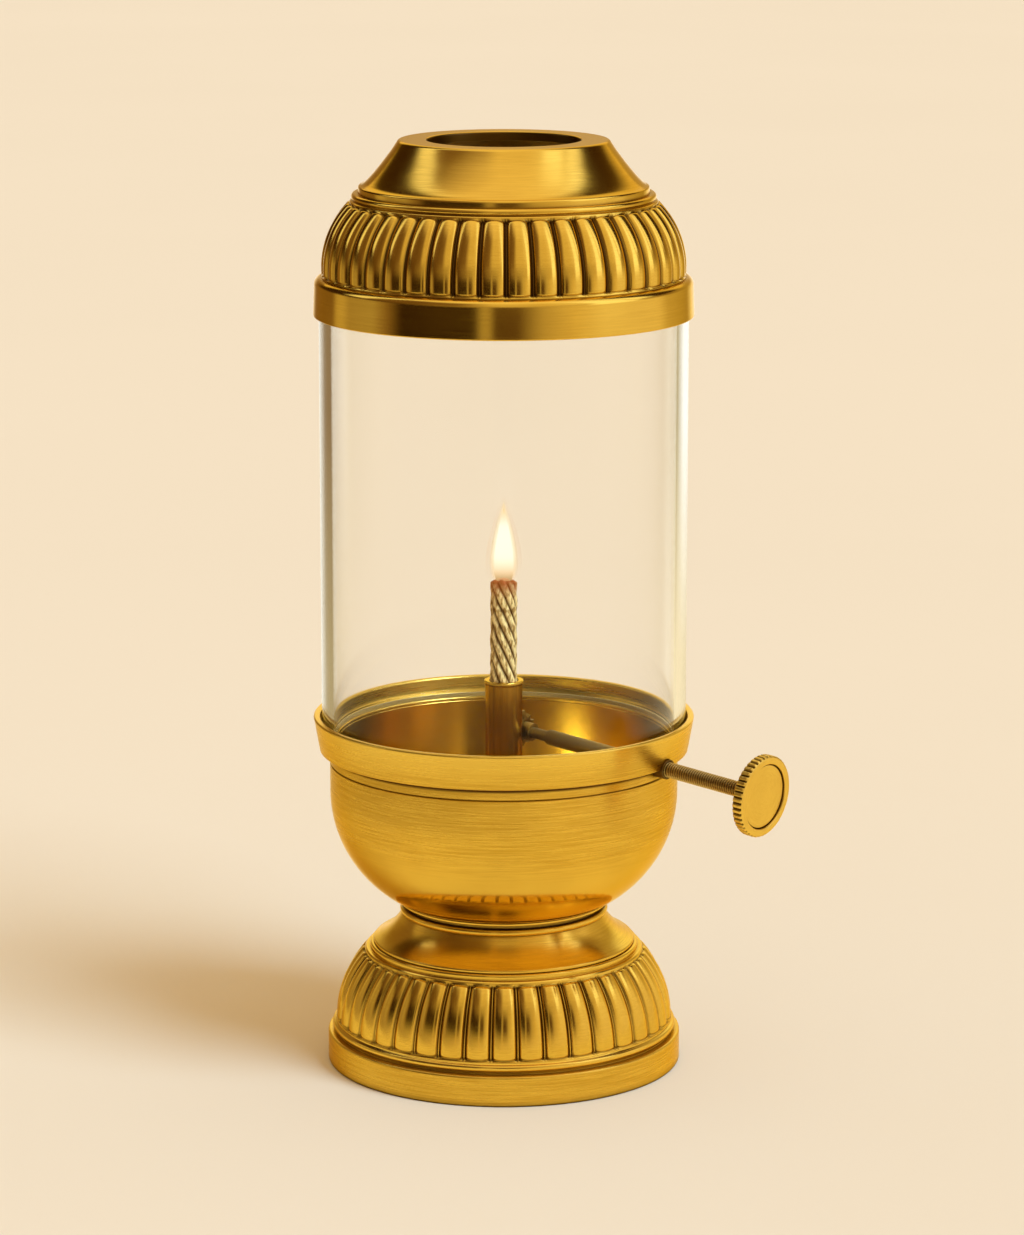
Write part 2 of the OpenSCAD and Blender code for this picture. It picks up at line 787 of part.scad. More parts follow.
foot();
neck();
bowl();
gallery();
tie_bolt();
foot_washer();
foot_nut();
floor_seal();
stirrup();
wick_tube();
tube_nut();
shaft_lug();
shaft_bush();
chimney_gasket();
wick_tail();
adjuster_shaft();
feed_wheel();
wheel_pin();
stop_collar();
collar_screw();
knob();
knob_face();
wick();
chimney_glass();
cap_band();
cap_gasket();
cap_dome();
cap_crown();
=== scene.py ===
import math
import random

import bmesh
import bpy
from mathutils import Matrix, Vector


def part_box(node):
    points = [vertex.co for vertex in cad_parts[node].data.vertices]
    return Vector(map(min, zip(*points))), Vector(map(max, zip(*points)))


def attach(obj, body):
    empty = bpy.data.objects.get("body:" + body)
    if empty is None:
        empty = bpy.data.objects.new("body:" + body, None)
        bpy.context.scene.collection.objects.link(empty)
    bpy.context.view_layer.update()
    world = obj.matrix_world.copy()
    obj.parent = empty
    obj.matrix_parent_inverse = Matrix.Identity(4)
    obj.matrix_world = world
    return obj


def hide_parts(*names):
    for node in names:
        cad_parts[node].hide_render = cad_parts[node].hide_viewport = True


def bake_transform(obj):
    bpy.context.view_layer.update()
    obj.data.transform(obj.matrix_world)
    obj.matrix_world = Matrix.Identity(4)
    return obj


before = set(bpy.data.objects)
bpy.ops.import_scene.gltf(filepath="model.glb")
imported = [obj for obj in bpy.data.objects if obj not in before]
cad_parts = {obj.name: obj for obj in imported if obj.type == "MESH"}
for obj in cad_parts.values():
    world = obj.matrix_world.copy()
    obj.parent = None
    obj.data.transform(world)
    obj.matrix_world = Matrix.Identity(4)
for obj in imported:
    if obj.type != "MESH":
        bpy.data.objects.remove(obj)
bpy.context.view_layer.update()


# Camera.
# The lamp is seen from in front and a little above, with a long lens, its knob to the right.
# The lamp's axis stands a little left of the middle of the frame.
turn = math.radians(39)
tilt = math.radians(11.71)
away = 0.9687
up_by = 0.3004
bpy.ops.object.select_all(action="DESELECT")
bpy.ops.object.camera_add(
    location=(away * math.sin(turn), -away * math.cos(turn), up_by),
    rotation=(math.pi / 2 - tilt, 0, turn),
)
camera = bpy.context.object
camera.name = "camera"
camera.data.sensor_fit = "HORIZONTAL"
camera.data.sensor_width = 36
camera.data.lens = 158.7
camera.data.shift_x = 0.008
bpy.context.scene.camera = camera
bpy.context.scene.view_settings.view_transform = "Standard"


# Wick.
# A cord of eight cotton strands laid round a thin core, cut to length and drawn through the tube.
# Its tail lies in the oil on the bowl's floor; its upper end stands free, and the tip is charred.
strands = 8
strand_r = 0.00088
strand_ring_r = 0.00212
strand_lay = 0.034
core_r = 0.00145


def laid_cord(name, line, cut_end, seed):
    """Strands and core along a line of close points, each a closed tube with rounded ends. The strands
    swell and thin a little, and at a cut end they differ in length."""
    rough = random.Random(seed)
    sides = 10
    swell_gap = 6
    rounding = 0.0006
    fray, fray_length = 0.0007, 0.004
    corners, faces, uv = [], [], []
    stations, run = [], 0.0
    across = Vector((1, 0, 0))
    for i, point in enumerate(line):
        along = (line[min(i + 1, len(line) - 1)] - line[max(i - 1, 0)]).normalized()
        across = (across - across.dot(along) * along).normalized()
        if i:
            run += (point - line[i - 1]).length
        stations.append((point, along, across, along.cross(across), run))
    for k in range(strands + 1):
        first = len(corners)
        swell = [rough.uniform(0.90, 1.10) for _ in range(len(line) // swell_gap + 3)]
        short_by = rough.uniform(0.0, fray) if cut_end else 0.0
        for i, (point, along, across, beside, reached) in enumerate(stations):
            angle = 2 * math.pi * (k / strands - reached / strand_lay)
            side = math.cos(angle) * across + math.sin(angle) * beside
            turned = math.cos(angle) * beside - math.sin(angle) * across
            j, part = divmod(i / swell_gap, 1)
            size = swell[int(j)] * (1 - part) + swell[int(j) + 1] * part
            centre = point + strand_ring_r * side if k < strands else point
            r = strand_r * size if k < strands else core_r
            to_end = min(reached, run - reached)
            r *= min(1.0, math.sqrt(max(to_end, 0.0) / rounding) + 0.25)
            if cut_end:
                centre = centre - along * short_by * max(0.0, 1 - (run - reached) / fray_length)
            for m in range(sides):
                way = 2 * math.pi * m / sides
                corners.append(centre + r * (math.cos(way) * side + math.sin(way) * turned))
                uv.append((reached * 1000, m / sides))
        for i in range(len(stations) - 1):
            for m in range(sides):
                here = first + i * sides + m
                beyond = first + i * sides + (m + 1) % sides
                faces.append((here, beyond, beyond + sides, here + sides))
        faces.append(tuple(first + m for m in reversed(range(sides))))
        faces.append(tuple(len(corners) - sides + m for m in range(sides)))
    mesh = bpy.data.meshes.new(name)
    mesh.from_pydata([c[:] for c in corners], [], faces)
    layer = mesh.uv_layers.new(name="strand")
    for face in mesh.polygons:
        wraps = {uv[mesh.loops[i].vertex_index][1] for i in face.loop_indices}
        for i in face.loop_indices:
            u, v = uv[mesh.loops[i].vertex_index]
            layer.data[i].uv = (u, 1.0 if v == 0 and max(wraps) > 0.85 else v)
    mesh.shade_smooth()
    cord = bpy.data.objects.new(name, mesh)
    bpy.context.scene.collection.objects.link(cord)
    return cord


def smooth_line(points, gap):
    """Points close together on one smooth curve through the given ones."""
    fine = []
    ends = [2 * points[0] - points[1]] + points + [2 * points[-1] - points[-2]]
    for p0, p1, p2, p3 in zip(ends, ends[1:], ends[2:], ends[3:]):
        parts = max(1, round((p2 - p1).length / gap))
        for i in range(parts):
            t = i / parts
            fine.append(0.5 * (2 * p1 + (p2 - p0) * t + (2 * p0 - 5 * p1 + 4 * p2 - p3) * t * t
                               + (3 * p1 - p0 - 3 * p2 + p3) * t ** 3))
    return fine + [points[-1]]


tail_route = [
    (0, 0, 60), (0, 0, 56), (-1, 0, 51.5), (-2.5, -1.5, 47.5), (-4, -4.5, 44.5), (-5, -8.5, 42.5),
    (-4.5, -12.5, 41.5), (-3, -17, 41), (-0.5, -20.5, 41), (3.5, -22.5, 42), (8, -23.5, 43),
    (12, -22.5, 43.5), (16, -20, 43.5), (18.5, -16.5, 43), (20, -12.5, 42), (20.5, -8, 41),
    (20.5, -3.5, 40.5),
]
tail_line = smooth_line([0.001 * Vector(p) for p in tail_route], gap=0.0005)
tail = laid_cord("wick_tail_cord", tail_line, cut_end=False, seed=4)
wick_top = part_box("wick")[1].z
wick_foot = 0.060
wick_line = [Vector((0, 0, wick_foot + (wick_top - wick_foot) * i / 100)) for i in range(101)]
wick = laid_cord("wick_cord", wick_line, cut_end=True, seed=9)


def wired(nodes, links, kind, inputs, **settings):
    """Adds a node with its settings to a material, a group or the world. Each input gets a plain value
    or another node's output."""
    node = nodes.new("ShaderNode" + kind)
    for name, value in settings.items():
        setattr(node, name, value)
    for socket, value in inputs.items():
        if isinstance(value, bpy.types.NodeSocket):
            links.new(value, node.inputs[socket])
        else:
            node.inputs[socket].default_value = value
    return node


cotton = bpy.data.materials.new("cotton")
cotton.use_nodes = True
nodes, links = cotton.node_tree.nodes, cotton.node_tree.links
skin = nodes["Principled BSDF"]
along = nodes.new("ShaderNodeUVMap")
along.uv_map = "strand"
lay = wired(nodes, links, "Mapping", {
    "Vector": along.outputs["UV"], "Scale": (1.0, 7.0, 1.0), "Rotation": (0, 0, -0.8)})
drawn = wired(nodes, links, "Mapping", {"Vector": lay.outputs["Vector"], "Scale": (0.25, 1.3, 1.0)})
fibres = wired(nodes, links, "TexNoise", {
    "Vector": drawn.outputs["Vector"], "Scale": 1.0, "Detail": 3.0})
tones = wired(nodes, links, "ValToRGB", {"Fac": fibres.outputs["Fac"]})
tones.color_ramp.elements[0].position = 0.40
tones.color_ramp.elements[0].color = (0.46, 0.25, 0.06, 1)
tones.color_ramp.elements[1].position = 0.53
tones.color_ramp.elements[1].color = (1.0, 0.76, 0.32, 1)
place = nodes.new("ShaderNodeTexCoord")
blotch = wired(nodes, links, "TexNoise", {"Vector": place.outputs["Object"], "Scale": 700})
axes = wired(nodes, links, "SeparateXYZ", {"Vector": place.outputs["Object"]})
ragged = wired(nodes, links, "Math", {
    0: blotch.outputs["Fac"], 1: 0.0028, 2: axes.outputs["Z"]}, operation="MULTIPLY_ADD")
burnt = wired(nodes, links, "MapRange", {
    "Value": ragged.outputs[0], "From Min": wick_top - 0.0034, "From Max": wick_top + 0.0010})
# Painted shade: each strand is painted dark on the sides that face its neighbours and the core.
round_strand = wired(nodes, links, "SeparateXYZ", {"Vector": along.outputs["UV"]})
painted_crevice_shade = wired(nodes, links, "ValToRGB", {"Fac": round_strand.outputs["Y"]})
painted_crevice_shade.color_ramp.elements[0].position = 0.11
painted_crevice_shade.color_ramp.elements[0].color = (1, 1, 1, 1)
painted_crevice_shade.color_ramp.elements[1].position = 0.21
painted_crevice_shade.color_ramp.elements[1].color = (0.20, 0.11, 0.03, 1)
painted_crevice_shade.color_ramp.elements.new(0.79).color = (0.20, 0.11, 0.03, 1)
painted_crevice_shade.color_ramp.elements.new(0.89).color = (1, 1, 1, 1)
strand = wired(nodes, links, "MixRGB", {
    "Fac": 0.92, "Color1": tones.outputs["Color"],
    "Color2": painted_crevice_shade.outputs["Color"]}, blend_type="MULTIPLY")
scorch = wired(nodes, links, "MixRGB", {
    "Fac": burnt.outputs["Result"], "Color1": strand.outputs["Color"],
    "Color2": (0.24, 0.055, 0.012, 1)})
links.new(scorch.outputs["Color"], skin.inputs["Base Color"])
embers = wired(nodes, links, "MixRGB", {
    "Fac": burnt.outputs["Result"], "Color1": (0, 0, 0, 1), "Color2": (0.42, 0.115, 0.008, 1)})
links.new(embers.outputs["Color"], skin.inputs["Emission Color"])
skin.inputs["Emission Strength"].default_value = 0.4
dull = wired(nodes, links, "MapRange", {"Value": fibres.outputs["Fac"], "To Min": 0.78, "To Max": 0.95})
links.new(dull.outputs["Result"], skin.inputs["Roughness"])
fuzz = wired(nodes, links, "Bump", {
    "Height": fibres.outputs["Fac"], "Strength": 0.7, "Distance": 0.0003})
links.new(fuzz.outputs["Normal"], skin.inputs["Normal"])

for cord in (tail, wick):
    cord.data.materials.append(cotton)
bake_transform(tail)
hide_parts("wick_tail")
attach(wick, "wick")
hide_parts("wick")


# Foot.
# One brass casting, turned on a lathe: a plain plinth, a bead over a groove, a dome with milled
# grooves between its ribs, and a ring on top. It is hollow, with a web that the tie bolt pulls on.
def pick(piece, places):
    """Selects the points of a piece in edit mode that lie at the given places."""
    bpy.ops.mesh.select_all(action="DESELECT")
    drawn = bmesh.from_edit_mesh(piece.data)
    for v in drawn.verts:
        if any((v.co - p).length < 1e-6 for p in places):
            v.select_set(True)
    drawn.select_flush(True)
    bmesh.update_edit_mesh(piece.data)


def spun(name, outline, steps, foot=(0, 0, 0), up=(0, 0, 1), out=(1, 0, 0), ring=True):
    """An outline of (radius, height, corner rounding) in millimetres, drawn point by point, rounded
    at its corners and spun once round an axis. An outline that isn't a ring ends on the axis. Each
    rounded corner gets a point close to it on both sides, which keeps the faces beside it flat."""
    foot, up, out = Vector(foot), Vector(up), Vector(out)
    clear_by, least_room = 0.06, 0.25
    held = []
    for i, (r, h, k) in enumerate(outline):
        beside = [None, None]
        for n, j in enumerate((i - 1, (i + 1) % len(outline))):
            r2, h2, k2 = outline[j]
            far = math.hypot(r2 - r, h2 - h)
            if k and far > k + k2 + least_room and (ring or 0 <= i - 1 and i + 1 < len(outline)):
                t = (k + clear_by) / far
                beside[n] = (r + t * (r2 - r), h + t * (h2 - h), 0)
        held += [p for p in (beside[0], (r, h, k), beside[1]) if p]
    points = [(foot + 0.001 * (r * out + h * up), 0.001 * k) for r, h, k in held]
    bpy.ops.object.select_all(action="DESELECT")
    bpy.ops.mesh.primitive_plane_add(size=0.001)
    piece = bpy.context.object
    piece.name = piece.data.name = name
    bpy.ops.object.mode_set(mode="EDIT")
    bpy.ops.mesh.merge(type="CENTER")
    bpy.ops.transform.translate(value=points[0][0])
    for (here, _), (there, _) in zip(points, points[1:]):
        bpy.ops.mesh.extrude_vertices_move(TRANSFORM_OT_translate={"value": there - here})
    if ring:
        pick(piece, [points[0][0], points[-1][0]])
        bpy.ops.mesh.edge_face_add()
    for k in sorted({k for _, k in points} - {0}):
        pick(piece, [p for p, q in points if q == k])
        bpy.ops.mesh.bevel(offset=k, affect="VERTICES", segments=5)
    bpy.ops.mesh.select_all(action="SELECT")
    bpy.ops.mesh.spin(steps=steps, angle=2 * math.pi, center=foot, axis=up)
    bpy.ops.mesh.select_all(action="SELECT")
    bpy.ops.mesh.remove_doubles(threshold=1e-6)
    bpy.ops.mesh.normals_make_consistent(inside=False)
    bpy.ops.object.mode_set(mode="OBJECT")
    bpy.ops.object.shade_smooth_by_angle(angle=math.radians(38))
    return piece


def arc(centre, radius, start, end, parts, crowded=False):
    """Points of an arc in an outline, in degrees from level; crowded puts more of them at its ends."""
    points = []
    for i in range(parts + 1):
        t = 0.5 - 0.5 * math.cos(math.pi * i / parts) if crowded else i / parts
        a = math.radians(start + (end - start) * t)
        points.append((centre[0] + radius * math.cos(a), centre[1] + radius * math.sin(a), 0))
    return points


def mill(piece, count, section, centre, radius, low, high, depth, tip, square):
    """Moves the points of a spun dome into ribs. section gives (place across half a rib, share of
    the groove's depth); a rib's end is drawn in over the length tip, and square makes it blunter."""
    end_slope = 0.4
    halves = [u for u, _ in section]
    stations = [-u for u in reversed(halves)][:-1] + halves[:-1]
    steps = count * len(stations)
    grooved = piece.data.attributes.new("groove", "FLOAT", "POINT")
    for v in piece.data.vertices:
        r, z = math.hypot(v.co.x, v.co.y) * 1000, v.co.z * 1000
        j = round(math.atan2(v.co.y, v.co.x) / (2 * math.pi) * steps) % steps
        i, s = divmod(j, len(stations))
        u = stations[s]
        a = 2 * math.pi * (i + 0.5 + 0.5 * u) / count
        off = math.hypot(r - centre[0], z - centre[1])
        if abs(off - radius) < 0.01 and low < z < high and r > centre[0]:
            left = min(z - low, high - z)
            wide = (1 - (1 - min(1.0, left / tip)) ** square) ** (1 / square)
            across = min(1.0, abs(u) / max(wide, 0.01))
            share = 1.0
            for (u0, d0), (u1, d1) in zip(section, section[1:]):
                if u0 <= across <= u1:
                    share = d0 + (d1 - d0) * (across - u0) / max(1e-9, u1 - u0)
            share = 1 - (1 - share) * min(1.0, left / end_slope) ** 0.5
            r += share * depth * (centre[0] - r) / off
            z += share * depth * (centre[1] - z) / off
            # The bottoms of the grooves are marked to be darkened: patina, and painted shade where shade
            # falls in them.
            grooved.data[v.index].value = max(0.0, 2.5 * share - 1.5)
        v.co = (0.001 * r * math.cos(a), 0.001 * r * math.sin(a), 0.001 * z)


def mark(piece, name, share):
    """Writes a share of a finish, of soot or of painted light and shade, from radius and height in
    millimetres, on each point of a piece. A share of nothing leaves what is there."""
    held = piece.data.attributes.get(name) or piece.data.attributes.new(name, "FLOAT", "POINT")
    for v in piece.data.vertices:
        value = share(1000 * math.hypot(v.co.x, v.co.y), 1000 * v.co.z)
        held.data[v.index].value = value or held.data[v.index].value


foot_ribs = 39
foot_centre = (13.88, 9.0)
foot_r = 23.42
foot_rib_section = [
    (0, 0), (0.22, 0.03), (0.42, 0.11), (0.58, 0.23), (0.71, 0.38), (0.81, 0.54),
    (0.86, 1), (0.915, 1), (0.955, 0.7), (1, 0.62),
]
foot_outline = (
    [(34.9, 0, 0.3), (39.1, 0, 0.45), (39.1, 6.8, 0.55), (37.2, 6.8, 0.15)]
    + arc((37.3, 8.2), 0.8, -88, 80, 10)
    + arc(foot_centre, foot_r, 0.4, 44.79, 36, crowded=True)
    + [(29.69, 25.55, 0.1), (29.69, 26.8, 0.55), (3.2, 26.8, 0), (3.2, 24, 0)]
    + arc(foot_centre, 21.02, 45.6, 0, 12)
)
foot = spun("foot_casting", foot_outline, foot_ribs * 2 * (len(foot_rib_section) - 1))
mill(foot, foot_ribs, foot_rib_section, foot_centre, foot_r,
     low=9.6, high=25.0, depth=1.2, tip=0.35, square=8)
mark(foot, "satin", lambda r, z: 1.0 if z < 7.2 else 0.0)
# Painted highlight: the plinth's top and the bead are painted a little paler, which also lifts part of the
# painted shade there.
mark(foot, "painted_light", lambda r, z: 0.4 if 6.5 < z < 9.2 and r > 36 else 0.0)

lathe_marks = bpy.data.node_groups.new("lathe_marks", "ShaderNodeTree")
lathe_marks.interface.new_socket("Place", in_out="INPUT", socket_type="NodeSocketVector")
lathe_marks.interface.new_socket("Fineness", in_out="INPUT", socket_type="NodeSocketFloat")
lathe_marks.interface.new_socket("Marks", in_out="OUTPUT", socket_type="NodeSocketFloat")
lathe_marks.interface.new_socket("Cloud", in_out="OUTPUT", socket_type="NodeSocketFloat")
nodes, links = lathe_marks.nodes, lathe_marks.links
given, made = nodes.new("NodeGroupInput"), nodes.new("NodeGroupOutput")
axes = wired(nodes, links, "SeparateXYZ", {"Vector": given.outputs["Place"]})
flat = wired(nodes, links, "CombineXYZ", {"X": axes.outputs["X"], "Y": axes.outputs["Y"]})
reach = wired(nodes, links, "VectorMath", {0: flat.outputs["Vector"]}, operation="LENGTH")
bearing = wired(nodes, links, "VectorMath", {0: flat.outputs["Vector"]}, operation="NORMALIZE")
heights = wired(nodes, links, "Math", {
    0: axes.outputs["Z"], 1: given.outputs["Fineness"]}, operation="MULTIPLY")
radii = wired(nodes, links, "Math", {
    0: reach.outputs["Value"], 1: given.outputs["Fineness"]}, operation="MULTIPLY")
stretch = wired(nodes, links, "VectorMath", {
    0: bearing.outputs["Vector"], "Scale": 3.0}, operation="SCALE")
parts = wired(nodes, links, "SeparateXYZ", {"Vector": stretch.outputs["Vector"]})
grain = wired(nodes, links, "CombineXYZ", {
    "X": parts.outputs["X"], "Y": parts.outputs["Y"], "Z": heights.outputs[0]})
lines = wired(nodes, links, "TexNoise", {
    "Vector": grain.outputs["Vector"], "W": radii.outputs[0], "Scale": 1.0, "Detail": 3.0,
    "Roughness": 0.65}, noise_dimensions="4D")
links.new(lines.outputs["Fac"], made.inputs["Marks"])
cloud = wired(nodes, links, "TexNoise", {"Vector": given.outputs["Place"], "Scale": 60, "Detail": 3.0})
links.new(cloud.outputs["Fac"], made.inputs["Cloud"])


def brass(name, bright, dark, fineness, smooth, dull, brushed=0.75, centre=(0, 0, 0),
          turned=(0, 0, 0), lacquer=0.2, drawn=1.0):
    """Lacquered brass with turning marks round an axis and slow clouds of tarnish. Recesses that occlusion
    finds get painted shade, and where the attribute groove says so it darkens with soot, patina and
    painted shade. It is polished, or brushed to a satin where the attribute satin says so, and painted
    paler, as painted light with less painted shade, where its painted-light attribute says so."""
    made = bpy.data.materials.new(name)
    made.use_nodes = True
    nodes, links = made.node_tree.nodes, made.node_tree.links
    skin = nodes["Principled BSDF"]
    skin.inputs["Metallic"].default_value = 1.0
    skin.inputs["Anisotropic"].default_value = brushed
    skin.inputs["Anisotropic Rotation"].default_value = 0.25
    skin.inputs["Coat Weight"].default_value = lacquer
    skin.inputs["Coat Roughness"].default_value = 0.15
    skin.inputs["Specular Tint"].default_value = (0.95, 0.72, 0.32, 1)
    place = nodes.new("ShaderNodeTexCoord")
    axis = wired(nodes, links, "Mapping", {
        "Vector": place.outputs["Object"], "Location": centre, "Rotation": turned,
        "Scale": (1, 1, drawn)}, vector_type="TEXTURE")
    marks = wired(nodes, links, "Group", {
        "Place": axis.outputs["Vector"], "Fineness": fineness}, node_tree=lathe_marks)
    satin = nodes.new("ShaderNodeAttribute")
    satin.attribute_name = "satin"
    deep = wired(nodes, links, "Math", {
        0: satin.outputs["Fac"], 1: 0.65, 2: 0.35}, operation="MULTIPLY_ADD", use_clamp=True)
    tone = wired(nodes, links, "MapRange", {
        "Value": marks.outputs["Marks"], "From Min": 0.62, "From Max": 0.36})
    streak = wired(nodes, links, "Math", {
        0: tone.outputs["Result"], 1: deep.outputs[0]}, operation="MULTIPLY")
    metal = wired(nodes, links, "MixRGB", {"Fac": streak.outputs[0], "Color1": bright, "Color2": dark})
    haze = wired(nodes, links, "MapRange", {
        "Value": marks.outputs["Cloud"], "From Min": 0.42, "From Max": 0.75, "To Max": 0.30})
    tarnish = wired(nodes, links, "MixRGB", {
        "Fac": haze.outputs["Result"], "Color1": metal.outputs["Color"],
        "Color2": (0.70, 0.60, 0.45, 1)}, blend_type="MULTIPLY")
    # Painted light: points marked for it are painted paler, and lose part of their painted shade.
    painted_light = nodes.new("ShaderNodeAttribute")
    painted_light.attribute_name = "painted_light"
    paler = wired(nodes, links, "MixRGB", {
        "Fac": painted_light.outputs["Fac"], "Color1": tarnish.outputs["Color"],
        "Color2": (0.88, 0.610, 0.130, 1)})
    # The attribute groove darkens a piece by soot and patina, and by painted shade where shade falls.
    groove = nodes.new("ShaderNodeAttribute")
    groove.attribute_name = "groove"
    groove_grime_and_painted_shade = wired(nodes, links, "Math", {0: groove.outputs["Fac"], 1: 0.95}, operation="MULTIPLY")
    # Painted shade: the recesses that occlusion finds are painted dark.
    recess = wired(nodes, links, "AmbientOcclusion", {"Distance": 0.0028}, samples=8)
    shut_in = wired(nodes, links, "MapRange", {
        "Value": recess.outputs["AO"], "From Min": 0.78, "From Max": 0.34, "To Max": 0.95})
    recess_painted_shade = wired(nodes, links, "Math", {
        0: shut_in.outputs["Result"], 1: painted_light.outputs["Fac"]}, operation="SUBTRACT", use_clamp=True)
    painted_shade_and_grime = wired(nodes, links, "Math", {0: groove_grime_and_painted_shade.outputs[0], 1: recess_painted_shade.outputs[0]}, operation="MAXIMUM")
    patina_and_painted_shade = wired(nodes, links, "MixRGB", {
        "Fac": painted_shade_and_grime.outputs[0], "Color1": paler.outputs["Color"], "Color2": (0.08, 0.034, 0.006, 1)})
    links.new(patina_and_painted_shade.outputs["Color"], skin.inputs["Base Color"])
    rough = wired(nodes, links, "MapRange", {
        "Value": marks.outputs["Marks"], "From Min": 0.3, "From Max": 0.7, "To Min": dull,
        "To Max": smooth})
    brush = wired(nodes, links, "Math", {
        0: satin.outputs["Fac"], 1: 0.12, 2: rough.outputs["Result"]}, operation="MULTIPLY_ADD")
    rougher_where_darkened = wired(nodes, links, "Math", {
        0: painted_shade_and_grime.outputs[0], 1: 0.25, 2: brush.outputs[0]}, operation="MULTIPLY_ADD")
    links.new(rougher_where_darkened.outputs[0], skin.inputs["Roughness"])
    lines = wired(nodes, links, "Math", {
        0: marks.outputs["Marks"], 1: deep.outputs[0]}, operation="MULTIPLY")
    scratch = wired(nodes, links, "Bump", {
        "Height": lines.outputs[0], "Strength": 0.18, "Distance": 0.0001})
    links.new(scratch.outputs["Normal"], skin.inputs["Normal"])
    return made


turned_brass = brass("turned_brass", (0.84, 0.560, 0.100, 1), (0.68, 0.415, 0.052, 1),
                     fineness=4000, smooth=0.13, dull=0.20)


def finish_brass(piece, body, node, metal=turned_brass):
    """Gives a brass piece its finish and puts it on its body in its node's place."""
    piece.data.materials.append(metal)
    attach(piece, body)
    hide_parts(node)


finish_brass(foot, "stand", "foot")


# Neck.
# A spun brass cone with hollow sides that stands on the foot, with a rolled ring at its top and a
# boss inside the ring that carries the bowl, so that a dark gap shows between ring and bowl.
def sweep(start, pull, end, parts):
    """Points of an outline between two ends of a curve that is drawn towards a third point."""
    points = []
    for i in range(1, parts):
        t = i / parts
        r, z = ((1 - t) ** 2 * a + 2 * t * (1 - t) * b + t * t * c for a, b, c in zip(start, pull, end))
        points.append((r, z, 0))
    return points


plain_steps = 192
neck = spun("neck_cone", (
    [(3.2, 33.4, 0), (21.0, 33.4, 0), (26.8, 26.8, 0), (28.89, 26.8, 0.2), (28.89, 27.5, 0.25)]
    + sweep((28.89, 27.5), (24.4, 29.6), (22.62, 33.4), 12)
    + arc((22.22, 34.2), 0.8, -70, 88, 10)
    + [(21.82, 35.0, 0.1), (21.82, 35.9, 0.1), (3.2, 35.9, 0)]
), plain_steps)
mark(neck, "satin", lambda r, z: 0.4)
finish_brass(neck, "stand", "neck")


# Bowl.
# A brass bowl spun from sheet, round below and straight above, with a thin lip round its bottom.
# It is brushed round and round outside and only lightly inside, where the oil lies, and the inside is
# painted paler, as painted light.
def cut_hole(piece, centre, box=None, radius=None, depth=None, turned=(0, 0, 0)):
    """Takes a hole out of a piece, a square one of the size of a box or a round one."""
    bpy.ops.object.select_all(action="DESELECT")
    if box:
        bpy.ops.mesh.primitive_cube_add(size=1, location=centre, scale=box)
    else:
        bpy.ops.mesh.primitive_cylinder_add(
            vertices=64, radius=radius, depth=depth, location=centre, rotation=turned)
    cutter = bpy.context.object
    bpy.ops.object.transform_apply(location=True, rotation=True, scale=True)
    bpy.ops.object.select_all(action="DESELECT")
    bpy.context.view_layer.objects.active = piece
    piece.select_set(True)
    hole = piece.modifiers.new("hole", "BOOLEAN")
    hole.operation = "DIFFERENCE"
    hole.solver = "EXACT"
    hole.object = cutter
    bpy.ops.object.modifier_apply(modifier="hole")
    bpy.data.objects.remove(cutter)


bowl_centre = (10.515, 61.2)
bowl_r = 27.785
bowl_inner_r = 26.485
bowl_mid_r = 27.2
wall_mid_r = 37.7
bowl = spun("bowl_shell", (
    [(3.2, 35.9, 0), (23.1, 35.9, 0.2), (23.1, 36.5, 0.2), (22.3, 36.55, 0)]
    + arc(bowl_centre, bowl_r, -62.2, 0, 30)
    + [(38.3, 67.4, 0), (38.1, 67.65, 0), (38.3, 67.9, 0), (38.3, 69.2, 0), (38.3, 69.7, 0)]
    + [(38.3, 73.1, 0.2), (37.0, 73.1, 0.2)]
    + arc(bowl_centre, bowl_inner_r, 0, -64.5, 26) + [(3.2, 37.2, 0)]
), plain_steps)
shaft_tilt = math.radians(4.5)
shaft = dict(
    foot=(0, 0.0061, 0.073614),
    up=(math.cos(shaft_tilt), 0, -math.sin(shaft_tilt)),
    out=(0, 1, 0),
)
shaft_turn = (0, math.pi / 2 + shaft_tilt, 0)
bush_hole_r = 0.00225


def on_shaft(along):
    """A place on the shaft's sloping line, at a distance from the feed wheel."""
    return Vector(shaft["foot"]) + along * Vector(shaft["up"])


cut_hole(bowl, on_shaft(0.0375), radius=bush_hole_r, depth=0.010, turned=shaft_turn)


def in_bowl(r, z):
    """Whether a point of the bowl lies on its inner face."""
    if z > bowl_centre[1]:
        return r < wall_mid_r
    return math.dist((r, z), bowl_centre) < bowl_mid_r


mark(bowl, "satin", lambda r, z: 0.35 if in_bowl(r, z) else min(1.0, max(-0.6, (z - 49.5) / 4.5)))
# Painted light: the inside is painted paler.
mark(bowl, "painted_light", lambda r, z: 1.0 if in_bowl(r, z) else 0.0)
# A painted shadow under the gallery's lower edge, and painted shade in the small groove below it.
mark(bowl, "groove", lambda r, z: 1.0 if r > 37.9 and (67.5 < z < 67.8 or z > 69.6) else 0.0)
finish_brass(bowl, "stand", "bowl")


# Gallery.
# A flared brass collar, soldered round the bowl's mouth. A ledge inside it carries the glass, and
# a notch in its lower edge lets the shaft's bush through.
gallery = spun("gallery_collar", [
    (38.35, 70.5, 0.1), (40.5, 70.5, 0.25), (41.9, 78.2, 0.5), (40.35, 78.2, 0.45),
    (40.35, 73.9, 0.3), (37.0, 73.9, 0.3), (37.0, 73.1, 0.1), (38.35, 73.1, 0),
], plain_steps)
cut_hole(gallery, on_shaft(0.0400), radius=bush_hole_r, depth=0.012, turned=shaft_turn)
mark(gallery, "satin", lambda r, z: 1.0)
